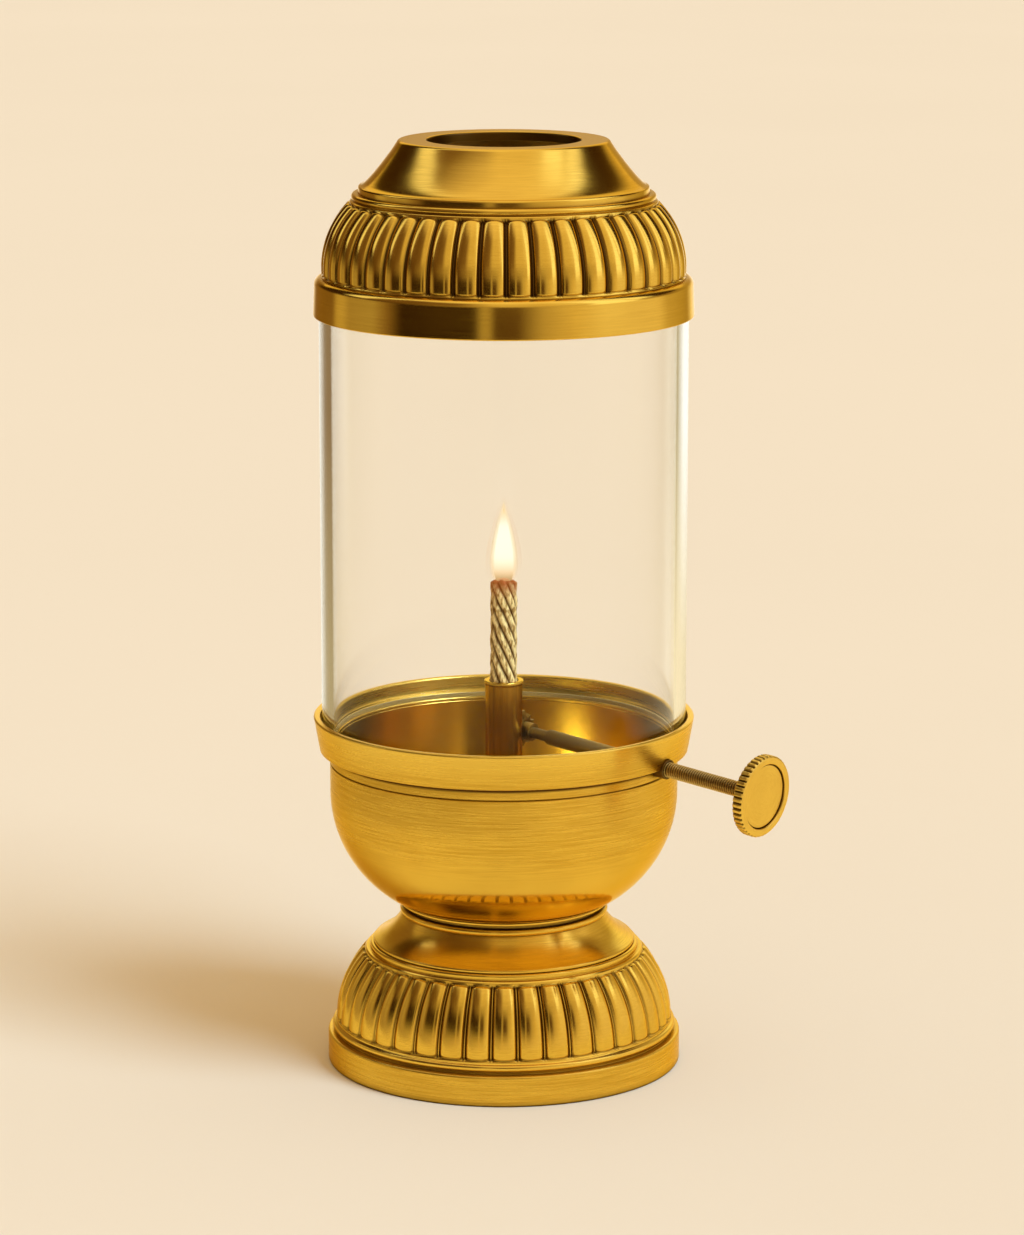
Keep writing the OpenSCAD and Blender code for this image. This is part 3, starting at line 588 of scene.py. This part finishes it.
# Painted light: the rim and the inside are painted paler, a painted highlight along the rim.
mark(gallery, "painted_light", lambda r, z: 0.0 if r > 40.42 and z < 77.6 else 1.0)
finish_brass(gallery, "stand", "gallery")


# Shaft bush.
# A short turned brass tube in the side of bowl and gallery, flanged inside, that the rod runs in.
# It is painted dark all over: painted shade for the gap round the rod.
shaft_brass = brass("shaft_brass", (0.74, 0.56, 0.26, 1), (0.48, 0.33, 0.12, 1),
                    fineness=5200, smooth=0.25, dull=0.38, brushed=0.0,
                    centre=shaft["foot"], turned=shaft_turn)
bush = spun("shaft_bush_tube", [
    (1.75, 34.6, 0), (2.45, 34.6, 0.12), (2.45, 36.0, 0.1),
    (2.2, 36.0, 0), (2.2, 41.04, 0.2), (1.75, 41.04, 0.15),
], 48, **shaft)
# Painted shade: the whole bush is painted dark.
mark(bush, "groove", lambda r, z: 0.9)
finish_brass(bush, "stand", "shaft_bush", shaft_brass)


# Adjuster shaft.
# A brass rod with a fine thread outside the bowl, where the knob screws on, and a thinner plain
# end that turns in the lug beside the wick tube.
rod = spun("adjuster_rod", [
    (0, -5.4, 0), (1.2, -5.4, 0.15), (1.2, 8, 0), (1.7, 8, 0.1),
    (1.7, 41.1, 0.1), (1.34, 41.2, 0), (1.34, 65.7, 0), (0, 65.7, 0),
], 48, ring=False, **shaft)
bpy.ops.object.select_all(action="DESELECT")
bpy.ops.mesh.primitive_plane_add(size=0.001)
thread = bpy.context.object
thread.name = "rod_thread"
thread_pitch = 0.0006
thread_root_r = 0.00130
darker_root_r = 0.00145
darker_up_to = 0.036
bpy.ops.object.mode_set(mode="EDIT")
bpy.ops.mesh.merge(type="CENTER")
bpy.ops.transform.translate(value=(0.0412, thread_root_r, 0))
for step in ((0.00022, 0.00040, 0), (0.00007, 0, 0), (0.00022, -0.00040, 0), (0.00009, 0, 0)):
    bpy.ops.mesh.extrude_vertices_move(TRANSFORM_OT_translate={"value": step})
bpy.ops.object.mode_set(mode="OBJECT")
coil = thread.modifiers.new("coil", "SCREW")
coil.axis = "X"
coil.screw_offset = thread_pitch
coil.iterations = 38
coil.steps = coil.render_steps = 24
coil.use_merge_vertices = True
coil.merge_threshold = 1e-7
bpy.ops.object.modifier_apply(modifier="coil")
bpy.ops.object.mode_set(mode="EDIT")
bpy.ops.mesh.select_all(action="SELECT")
bpy.ops.mesh.remove_doubles(threshold=1e-6)
bpy.ops.mesh.fill_holes(sides=0)
bpy.ops.mesh.select_all(action="SELECT")
bpy.ops.mesh.normals_make_consistent(inside=False)
bpy.ops.object.mode_set(mode="OBJECT")
# The thread is darker in its roots.
root = thread.data.attributes.new("groove", "FLOAT", "POINT")
for v in thread.data.vertices:
    root.data[v.index].value = 1.0 if math.hypot(v.co.y, v.co.z) < darker_root_r else 0.0
thread.location = shaft["foot"]
thread.rotation_euler = (0, shaft_tilt, 0)
bpy.ops.object.transform_apply(location=True, rotation=True, scale=True)
bpy.ops.object.shade_smooth_by_angle(angle=math.radians(25))
# The rod is darker where it lies inside the bowl.
inner_end = rod.data.attributes.new("groove", "FLOAT", "POINT")
for v in rod.data.vertices:
    inner_end.data[v.index].value = 0.75 if v.co.x < darker_up_to else 0.0
for piece in (rod, thread):
    finish_brass(piece, "adjuster", "adjuster_shaft", shaft_brass)


# Knob.
# A brass disc with a straight knurl round its edge and a raised rim, screwed on the rod's end.
# A thin turned disc is pressed into the recess inside the rim.
knob_brass = brass("knob_brass", (0.91, 0.64, 0.160, 1), (0.76, 0.49, 0.085, 1),
                   fineness=4200, smooth=0.28, dull=0.40, brushed=0.0,
                   centre=shaft["foot"], turned=shaft_turn)
knurls = 44
knurl_depth = 0.00050
knurled_from_r = 0.00865
shaded_from_r = 0.0068
knob = spun("knob_disc", [
    (1.7, 64.3, 0), (8.2, 64.3, 0.1), (8.9, 64.6, 0.2), (8.9, 66.5, 0.12),
    (8.5, 66.9, 0.2), (7.1, 66.9, 0.3), (7.1, 65.7, 0.1), (1.7, 65.7, 0),
], knurls * 8, **shaft)
# Painted shade: the knurl's grooves are marked to be painted dark, as deep as they are.
knurled = knob.data.attributes.new("groove", "FLOAT", "POINT")
sideways = Vector(shaft["out"])
upright = Vector(shaft["up"]).cross(sideways)
for v in knob.data.vertices:
    reach = v.co - Vector(shaft["foot"])
    a, b = reach.dot(sideways), reach.dot(upright)
    if math.hypot(a, b) > knurled_from_r:
        dip = max(0.0, math.cos(knurls * math.atan2(b, a))) ** 0.7
        inward = knurl_depth * dip / math.hypot(a, b)
        v.co -= inward * (a * sideways + b * upright)
        knurled.data[v.index].value = dip
knob_face = spun("knob_face_disc", [
    (0, 65.7, 0), (7.05, 65.7, 0.05), (7.05, 66.3, 0.15), (6.75, 66.4, 0.15), (0, 66.4, 0),
], 96, ring=False, **shaft)
# Painted shade: a dark ring is painted round the face's edge, in the recess inside the rim.
painted_shade_and_grime = knob_face.data.attributes.new("groove", "FLOAT", "POINT")
for v in knob_face.data.vertices:
    reach = v.co - Vector(shaft["foot"])
    from_axis = math.hypot(reach.dot(sideways), reach.dot(upright))
    painted_shade_and_grime.data[v.index].value = 1.0 if from_axis > shaded_from_r else 0.0
finish_brass(knob, "adjuster", "knob", knob_brass)
finish_brass(knob_face, "adjuster", "knob_face", knob_brass)


# Wick tube.
# A drawn brass tube with a brazed shoulder, which stands on the stirrup. A window at the back lets
# the feed wheel reach the wick. It is darkened in long streaks, partly by the flame's heat and partly
# as painted reflection.
tube = spun("wick_tube_drawn", [
    (3.2, 60, 0.1), (4.1, 60, 0.15), (4.1, 63.4, 0), (6, 63.4, 0.15), (6, 64.6, 0.2),
    (4.1, 64.6, 0.15), (4.1, 85.0, 0.1), (4.3, 85.2, 0.1), (4.3, 85.9, 0.2), (3.2, 85.9, 0.25),
], 96)
cut_hole(tube, (0, 0.004, shaft["foot"][2]), box=(0.0032, 0.008, 0.0086))
mark(tube, "satin", lambda r, z: 0.2)
# Painted highlight: the lip is painted paler.
mark(tube, "painted_light", lambda r, z: 1.0 if z > 85.3 else 0.0)
# Painted reflection: the dark colour, drawn into long streaks along the tube, stands in for dark
# reflections.
tube_brass = brass("tube_brass", (0.80, 0.49, 0.080, 1), (0.15, 0.060, 0.010, 1),
                   fineness=3000, smooth=0.10, dull=0.18, brushed=0.9, lacquer=0.0, drawn=5000)
finish_brass(tube, "stand", "wick_tube", tube_brass)


# Hidden fittings.
# The feed wheel and its pin, the collar and its screw, the lug, stirrup, bolt, nuts and washer are
# small machined brass parts with a duller skin. The seal is pressed fibre, and the two ring gaskets
# are silicone.
machined_brass = brass("machined_brass", (0.50, 0.33, 0.085, 1), (0.36, 0.22, 0.05, 1),
                       fineness=2600, smooth=0.34, dull=0.50)
for node in ("tie_bolt", "foot_washer", "foot_nut", "stirrup", "tube_nut", "shaft_lug", "feed_wheel",
             "wheel_pin", "stop_collar", "collar_screw"):
    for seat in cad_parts[node].material_slots:
        seat.material = machined_brass


def matte(name, light, dark, size, rough):
    """A dull moulded or pressed material with a speckled colour and a fine grain."""
    made = bpy.data.materials.new(name)
    made.use_nodes = True
    nodes, links = made.node_tree.nodes, made.node_tree.links
    skin = nodes["Principled BSDF"]
    place = nodes.new("ShaderNodeTexCoord")
    speck = wired(nodes, links, "TexNoise", {
        "Vector": place.outputs["Object"], "Scale": size, "Detail": 5.0})
    tone = wired(nodes, links, "MixRGB", {"Fac": speck.outputs["Fac"], "Color1": dark, "Color2": light})
    links.new(tone.outputs["Color"], skin.inputs["Base Color"])
    dull = wired(nodes, links, "MapRange", {
        "Value": speck.outputs["Fac"], "To Min": rough - 0.1, "To Max": rough + 0.1})
    links.new(dull.outputs["Result"], skin.inputs["Roughness"])
    grain = wired(nodes, links, "Bump", {
        "Height": speck.outputs["Fac"], "Strength": 0.2, "Distance": 0.0002})
    links.new(grain.outputs["Normal"], skin.inputs["Normal"])
    return made


fibre = matte("pressed_fibre", (0.26, 0.07, 0.035, 1), (0.14, 0.035, 0.02, 1), 1800, 0.85)
silicone = matte("silicone", (0.46, 0.30, 0.09, 1), (0.36, 0.22, 0.06, 1), 900, 0.55)
for node, skin in (("floor_seal", fibre), ("chimney_gasket", silicone), ("cap_gasket", silicone)):
    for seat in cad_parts[node].material_slots:
        seat.material = skin


# Chimney.
# A straight tube of clear drawn glass, cut and fire-polished at both ends. It stands on a gasket
# inside the gallery and lifts out.
glass = spun("chimney_tube", [
    (37.5, 74.7, 0.5), (40, 74.7, 0.5), (40, 172.6, 0.5), (37.5, 172.6, 0.5),
], 256)
clear = bpy.data.materials.new("clear_glass")
clear.use_nodes = True
nodes, links = clear.node_tree.nodes, clear.node_tree.links
skin = nodes["Principled BSDF"]
skin.inputs["Base Color"].default_value = (0.995, 0.995, 0.99, 1)
skin.inputs["Transmission Weight"].default_value = 1.0
skin.inputs["IOR"].default_value = 1.46
skin.inputs["Specular Tint"].default_value = (0.2, 0.2, 0.2, 1)
place = nodes.new("ShaderNodeTexCoord")
draw = wired(nodes, links, "Mapping", {"Vector": place.outputs["Object"], "Scale": (140, 140, 7)})
streak = wired(nodes, links, "TexNoise", {"Vector": draw.outputs["Vector"], "Scale": 1.0})
film = wired(nodes, links, "MapRange", {"Value": streak.outputs["Fac"], "To Max": 0.02})
links.new(film.outputs["Result"], skin.inputs["Roughness"])
wave = wired(nodes, links, "Bump", {
    "Height": streak.outputs["Fac"], "Strength": 0.02, "Distance": 0.0002})
links.new(wave.outputs["Normal"], skin.inputs["Normal"])
path = nodes.new("ShaderNodeLightPath")
through = wired(nodes, links, "BsdfTransparent", {"Color": (0.94, 0.94, 0.93, 1)})
either = wired(nodes, links, "MixShader", {
    "Fac": path.outputs["Is Shadow Ray"], 1: skin.outputs["BSDF"], 2: through.outputs["BSDF"]})
links.new(either.outputs["Shader"], nodes["Material Output"].inputs["Surface"])
glass.data.materials.append(clear)
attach(glass, "chimney")
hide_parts("chimney_glass")


# Cap.
# Three brass spinnings soldered together: a band with a rounded shoulder that goes over the glass,
# a dome with embossed ribs, and a crown with the vent hole, whose edge is turned down inside. The
# flame has left soot inside.
band = spun("cap_band_ring", (
    [(40.35, 166.6, 0.2), (41.25, 166.6, 0.3), (41.0, 173.4, 0)]
    + arc((39.5, 173.4), 1.5, 8, 90, 8)
    + [(37.5, 174.9, 0.2), (37.5, 173.4, 0.2), (40.35, 173.4, 0.2)]
), plain_steps)
finish_brass(band, "cap", "cap_band")

cap_ribs = 43
cap_centre = (19.75, 177.0)
cap_r = 19.65
cap_mid_r = 18.9
dome_outline = (
    arc(cap_centre, cap_r, -6.1, 47.2, 38, crowded=True)
    + [(32.55, 191.62, 0.1)] + arc((32.2, 192.3), 0.7, -50, 88, 8) + [(31.2, 193.0, 0)]
    + arc(cap_centre, 18.2, 51.0, -6.5, 14)
)
cap_rib_section = [
    (0, 0), (0.22, 0.03), (0.42, 0.12), (0.58, 0.25), (0.71, 0.41), (0.82, 0.60),
    (0.87, 1), (0.92, 1), (0.955, 0.72), (1, 0.66),
]
dome = spun("cap_dome_ribbed", dome_outline, cap_ribs * 2 * (len(cap_rib_section) - 1))
mill(dome, cap_ribs, cap_rib_section, cap_centre, cap_r,
     low=175.2, high=191.2, depth=1.15, tip=0.35, square=8)
mark(dome, "groove", lambda r, z: 1.0 if math.dist((r, z), cap_centre) < cap_mid_r else 0.0)
finish_brass(dome, "cap", "cap_dome")

crown = spun("cap_crown_cone", (
    [(29.95, 191.9, 0.1), (31.15, 191.9, 0.1), (31.15, 193.0, 0), (31.4, 193.0, 0), (31.4, 194.5, 0.35)]
    + sweep((30.9, 194.5), (29.0, 195.5), (22.9, 203.9), 10)
    + [(22.7, 204.4, 0.45), (16.6, 204.4, 0.4), (16.6, 202.4, 0.15), (21.5, 202.4, 0), (29.95, 193.4, 0)]
), plain_steps)


def in_crown(r, z):
    """Whether a point of the crown lies inside the vent or under the cone, where the soot is."""
    in_vent = r < 16.75
    under_cone = z < 203 and r < 30.0 - 0.851 * (z - 194.5)
    return in_vent or under_cone


mark(crown, "groove", lambda r, z: 1.0 if in_crown(r, z) else 0.0)
finish_brass(crown, "cap", "cap_crown")


# Flame.
# A small steady flame on the wick's tip: thin hot gas, white inside and yellow outside, redder and
# clearer at its foot and its point. It is light and no solid, and goes up and down with the wick.
flame_shape = [
    (0, 0.0), (2.3, 0.2), (2.7, 1.4), (2.85, 3.2), (2.78, 5.2), (2.5, 7.6),
    (2.0, 10.2), (1.35, 12.9), (0.7, 15.2), (0.22, 16.8), (0, 17.2),
]
flame_foot = wick_top * 1000 - 0.6
flame_rise = 17
for name, wide, tall, colour, strength, solid in (
    ("flame_glow", 1.40, 1.10, (1.0, 0.50, 0.16, 1), 1.0, 0.05),
    ("flame_veil", 1.08, 1.03, (1.0, 0.80, 0.42, 1), 1.0, 0.20),
    ("flame_mantle", 0.93, 0.99, (1.0, 0.93, 0.66, 1), 1.15, 0.50),
    ("flame_core", 0.76, 0.93, (1.0, 0.98, 0.86, 1), 1.4, 0.85),
):
    gas = spun(name, [(r * wide, flame_foot + h * tall, 0) for r, h in flame_shape], 48, ring=False)
    glow = bpy.data.materials.new(name)
    glow.use_nodes = True
    nodes, links = glow.node_tree.nodes, glow.node_tree.links
    skin = nodes["Principled BSDF"]
    skin.inputs["Base Color"].default_value = (0, 0, 0, 1)
    skin.inputs["Specular IOR Level"].default_value = 0.0
    skin.inputs["Roughness"].default_value = 1.0
    skin.inputs["Emission Strength"].default_value = strength
    place = nodes.new("ShaderNodeTexCoord")
    axes = wired(nodes, links, "SeparateXYZ", {"Vector": place.outputs["Object"]})
    rise = wired(nodes, links, "MapRange", {
        "Value": axes.outputs["Z"], "From Min": 0.001 * flame_foot,
        "From Max": 0.001 * (flame_foot + flame_rise * tall)})
    heat = wired(nodes, links, "ValToRGB", {"Fac": rise.outputs["Result"]})
    heat.color_ramp.elements[0].color = (1.0, 0.62, 0.25, 1)
    heat.color_ramp.elements[1].color = (1.0, 0.70, 0.32, 1)
    heat.color_ramp.elements.new(0.35).color = colour
    heat.color_ramp.elements.new(0.75).color = colour
    links.new(heat.outputs["Color"], skin.inputs["Emission Color"])
    thin = wired(nodes, links, "ValToRGB", {"Fac": rise.outputs["Result"]})
    thin.color_ramp.elements[0].color = (0.15 * solid, 0.15 * solid, 0.15 * solid, 1)
    thin.color_ramp.elements[1].color = (0.4 * solid, 0.4 * solid, 0.4 * solid, 1)
    thin.color_ramp.elements.new(0.35).color = (solid, solid, solid, 1)
    links.new(thin.outputs["Color"], skin.inputs["Alpha"])
    gas.data.materials.append(glow)
    gas.visible_shadow = False
    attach(gas, "wick")


# Studio.
# A plain cream floor that runs far back, a broad cool key light from the right and in front, and a
# soft warm room all round. Only mirrored light sees a warmer floor, and a tent and sky of pale and
# dark panels, as shiny brass would in a real studio.
def in_mirrors(nodes, links, plain, room, output):
    """Shows the room only to light that has been mirrored by a shiny piece, and plain otherwise."""
    path = nodes.new("ShaderNodeLightPath")
    mirrored = wired(nodes, links, "Math", {
        0: path.outputs["Glossy Depth"], 1: 0.5}, operation="GREATER_THAN")
    either = wired(nodes, links, "MixShader", {"Fac": mirrored.outputs[0], 1: plain, 2: room})
    links.new(either.outputs["Shader"], output.inputs["Surface"])


bpy.ops.object.select_all(action="DESELECT")
bpy.ops.mesh.primitive_plane_add(size=16)
floor = bpy.context.object
floor.name = "floor"
cream = bpy.data.materials.new("cream_floor")
cream.use_nodes = True
nodes, links = cream.node_tree.nodes, cream.node_tree.links
skin = nodes["Principled BSDF"]
skin.inputs["Roughness"].default_value = 0.9
skin.inputs["Specular IOR Level"].default_value = 0.1
place = nodes.new("ShaderNodeTexCoord")
paper = wired(nodes, links, "TexNoise", {"Vector": place.outputs["Object"], "Scale": 3.0})
tone = wired(nodes, links, "MixRGB", {
    "Fac": paper.outputs["Fac"], "Color1": (0.89, 0.795, 0.655, 1), "Color2": (0.915, 0.82, 0.68, 1)})
links.new(tone.outputs["Color"], skin.inputs["Base Color"])
warm_cream = wired(nodes, links, "BsdfDiffuse", {"Color": (0.90, 0.73, 0.36, 1)})
in_mirrors(nodes, links, skin.outputs["BSDF"], warm_cream.outputs["BSDF"], nodes["Material Output"])
floor.data.materials.append(cream)

key_turn = turn + math.radians(52)
bpy.ops.object.light_add(
    type="SUN", location=(1, 0, 1), rotation=(math.radians(46), 0, key_turn))
key = bpy.context.object
key.name = "key"
key.data.energy = 2.55
key.data.angle = math.radians(30)
key.data.color = (0.60, 0.80, 1.0)
key.visible_glossy = False


def room_light(name, panels, above):
    """What shiny pieces see of the room: pale and dark panels all round, by their bearing in degrees
    from the camera to the right, and one pale level above. Dim panels are the warmest."""
    room = bpy.data.node_groups.new(name, "ShaderNodeTree")
    room.interface.new_socket("Way", in_out="INPUT", socket_type="NodeSocketVector")
    room.interface.new_socket("Light", in_out="OUTPUT", socket_type="NodeSocketColor")
    nodes, links = room.nodes, room.links
    given, made = nodes.new("NodeGroupInput"), nodes.new("NodeGroupOutput")
    facing = wired(nodes, links, "VectorRotate", {
        "Vector": given.outputs["Way"], "Angle": -turn}, rotation_type="Z_AXIS")
    axes = wired(nodes, links, "SeparateXYZ", {"Vector": facing.outputs["Vector"]})
    ahead = wired(nodes, links, "Math", {0: axes.outputs["Y"], 1: -1.0}, operation="MULTIPLY")
    bearing = wired(nodes, links, "Math", {
        0: axes.outputs["X"], 1: ahead.outputs[0]}, operation="ARCTAN2")
    around = wired(nodes, links, "MapRange", {
        "Value": bearing.outputs[0], "From Min": -math.pi, "From Max": math.pi})
    walls = nodes.new("ShaderNodeValToRGB")
    for i, (degrees, level) in enumerate(panels):
        at = (degrees + 180) / 360
        if i == 0:
            wall = walls.color_ramp.elements[0]
        elif degrees == 180:
            wall = walls.color_ramp.elements[-1]
        else:
            wall = walls.color_ramp.elements.new(at)
        wall.position = at
        warm = min(1.0, level / 0.5)
        white = min(1.0, max(0.0, level - 0.9) / 0.35)
        green = 0.42 + 0.36 * warm + 0.20 * white
        blue = 0.12 + 0.26 * warm + 0.50 * white
        wall.color = (level, green * level, blue * level, 1)
    links.new(around.outputs["Result"], walls.inputs["Fac"])
    steep = wired(nodes, links, "MapRange", {
        "Value": axes.outputs["Z"], "From Min": 0.80, "From Max": 0.96})
    dome = wired(nodes, links, "MixRGB", {
        "Fac": steep.outputs["Result"], "Color1": walls.outputs["Color"],
        "Color2": (above, 0.82 * above, 0.50 * above, 1)})
    links.new(dome.outputs["Color"], made.inputs["Light"])
    return room


floor_room = room_light("floor_room", (
    (-180, 1.2), (-164, 1.2), (-150, 0.48), (-95, 0.42), (-50, 0.62), (-10, 0.85), (40, 0.95), (180, 1.0),
), above=0.8)
low_room = room_light("low_room", (
    (-180, 1.2), (-164, 1.2), (-150, 0.3), (-118, 0.26), (-113, 0.62), (-106, 0.62), (-100, 0.45),
    (-80, 0.5), (-70, 0.3), (-60, 0.03), (-16, 0.03), (-12, 0.5), (-8, 0.5), (-5, 0.08), (8, 0.1),
    (22, 0.6), (40, 0.85), (60, 1.0), (100, 1.0), (110, 0.7), (138, 0.5), (150, 1.25), (180, 1.2),
), above=0.95)
upper_room = room_light("upper_room", (
    (-180, 0.6), (-155, 0.3), (-140, 0.05), (-100, 0.05), (-60, 0.16), (-20, 0.4), (10, 0.6), (48, 0.75),
    (56, 1.5), (80, 1.5), (88, 0.5), (110, 0.3), (140, 0.5), (180, 0.6),
), above=0.8)
high_room = room_light("high_room", (
    (-180, 1.0), (-156, 0.95), (-149, 0.04), (-120, 0.04), (-112, 1.2), (-99, 1.2), (-93, 0.22),
    (-60, 0.18), (-30, 0.25), (-8, 0.8), (30, 0.85), (56, 1.0), (62, 1.4), (82, 1.4), (87, 0.8),
    (92, 1.4), (103, 1.4), (109, 0.04), (136, 0.06), (150, 0.9), (180, 1.0),
), above=1.1)


def seen_panels(nodes, links, room, way):
    """Places a ring of panels in a material, or in the world, and gives its light."""
    ring = wired(nodes, links, "Group", {"Way": way}, node_tree=room)
    return ring.outputs["Light"]


tent_height = 0.27
bpy.ops.object.select_all(action="DESELECT")
bpy.ops.mesh.primitive_cylinder_add(
    vertices=96, radius=0.30, depth=tent_height, location=(0, 0, tent_height / 2), end_fill_type="NOTHING")
tent = bpy.context.object
tent.name = "light_tent"
bpy.ops.object.transform_apply(location=True, rotation=True, scale=True)
cloth = bpy.data.materials.new("tent_cloth")
cloth.use_nodes = True
nodes, links = cloth.node_tree.nodes, cloth.node_tree.links
nodes.remove(nodes["Principled BSDF"])
place = nodes.new("ShaderNodeTexCoord")
axes = wired(nodes, links, "SeparateXYZ", {"Vector": place.outputs["Object"]})
light = seen_panels(nodes, links, floor_room, place.outputs["Object"])
for room, begins, full in ((low_room, 0.03, 0.10), (upper_room, 0.18, 0.22)):
    height = wired(nodes, links, "MapRange", {
        "Value": axes.outputs["Z"], "From Min": begins, "From Max": full})
    ring = wired(nodes, links, "MixRGB", {
        "Fac": height.outputs["Result"], "Color1": light,
        "Color2": seen_panels(nodes, links, room, place.outputs["Object"])})
    light = ring.outputs["Color"]
lit = wired(nodes, links, "Emission", {"Color": light})
clear = nodes.new("ShaderNodeBsdfTransparent")
in_mirrors(nodes, links, clear.outputs["BSDF"], lit.outputs["Emission"], nodes["Material Output"])
tent.data.materials.append(cloth)
tent.visible_camera = tent.visible_diffuse = tent.visible_shadow = False

world = bpy.data.worlds.new("room")
bpy.context.scene.world = world
world.use_nodes = True
nodes, links = world.node_tree.nodes, world.node_tree.links
back = nodes["Background"]
back.inputs["Color"].default_value = (1.0, 0.72, 0.39, 1)
back.inputs["Strength"].default_value = 0.69
place = nodes.new("ShaderNodeTexCoord")
mirrored = wired(nodes, links, "Background", {
    "Color": seen_panels(nodes, links, high_room, place.outputs["Generated"])})
in_mirrors(nodes, links, back.outputs["Background"], mirrored.outputs["Background"], nodes["World Output"])
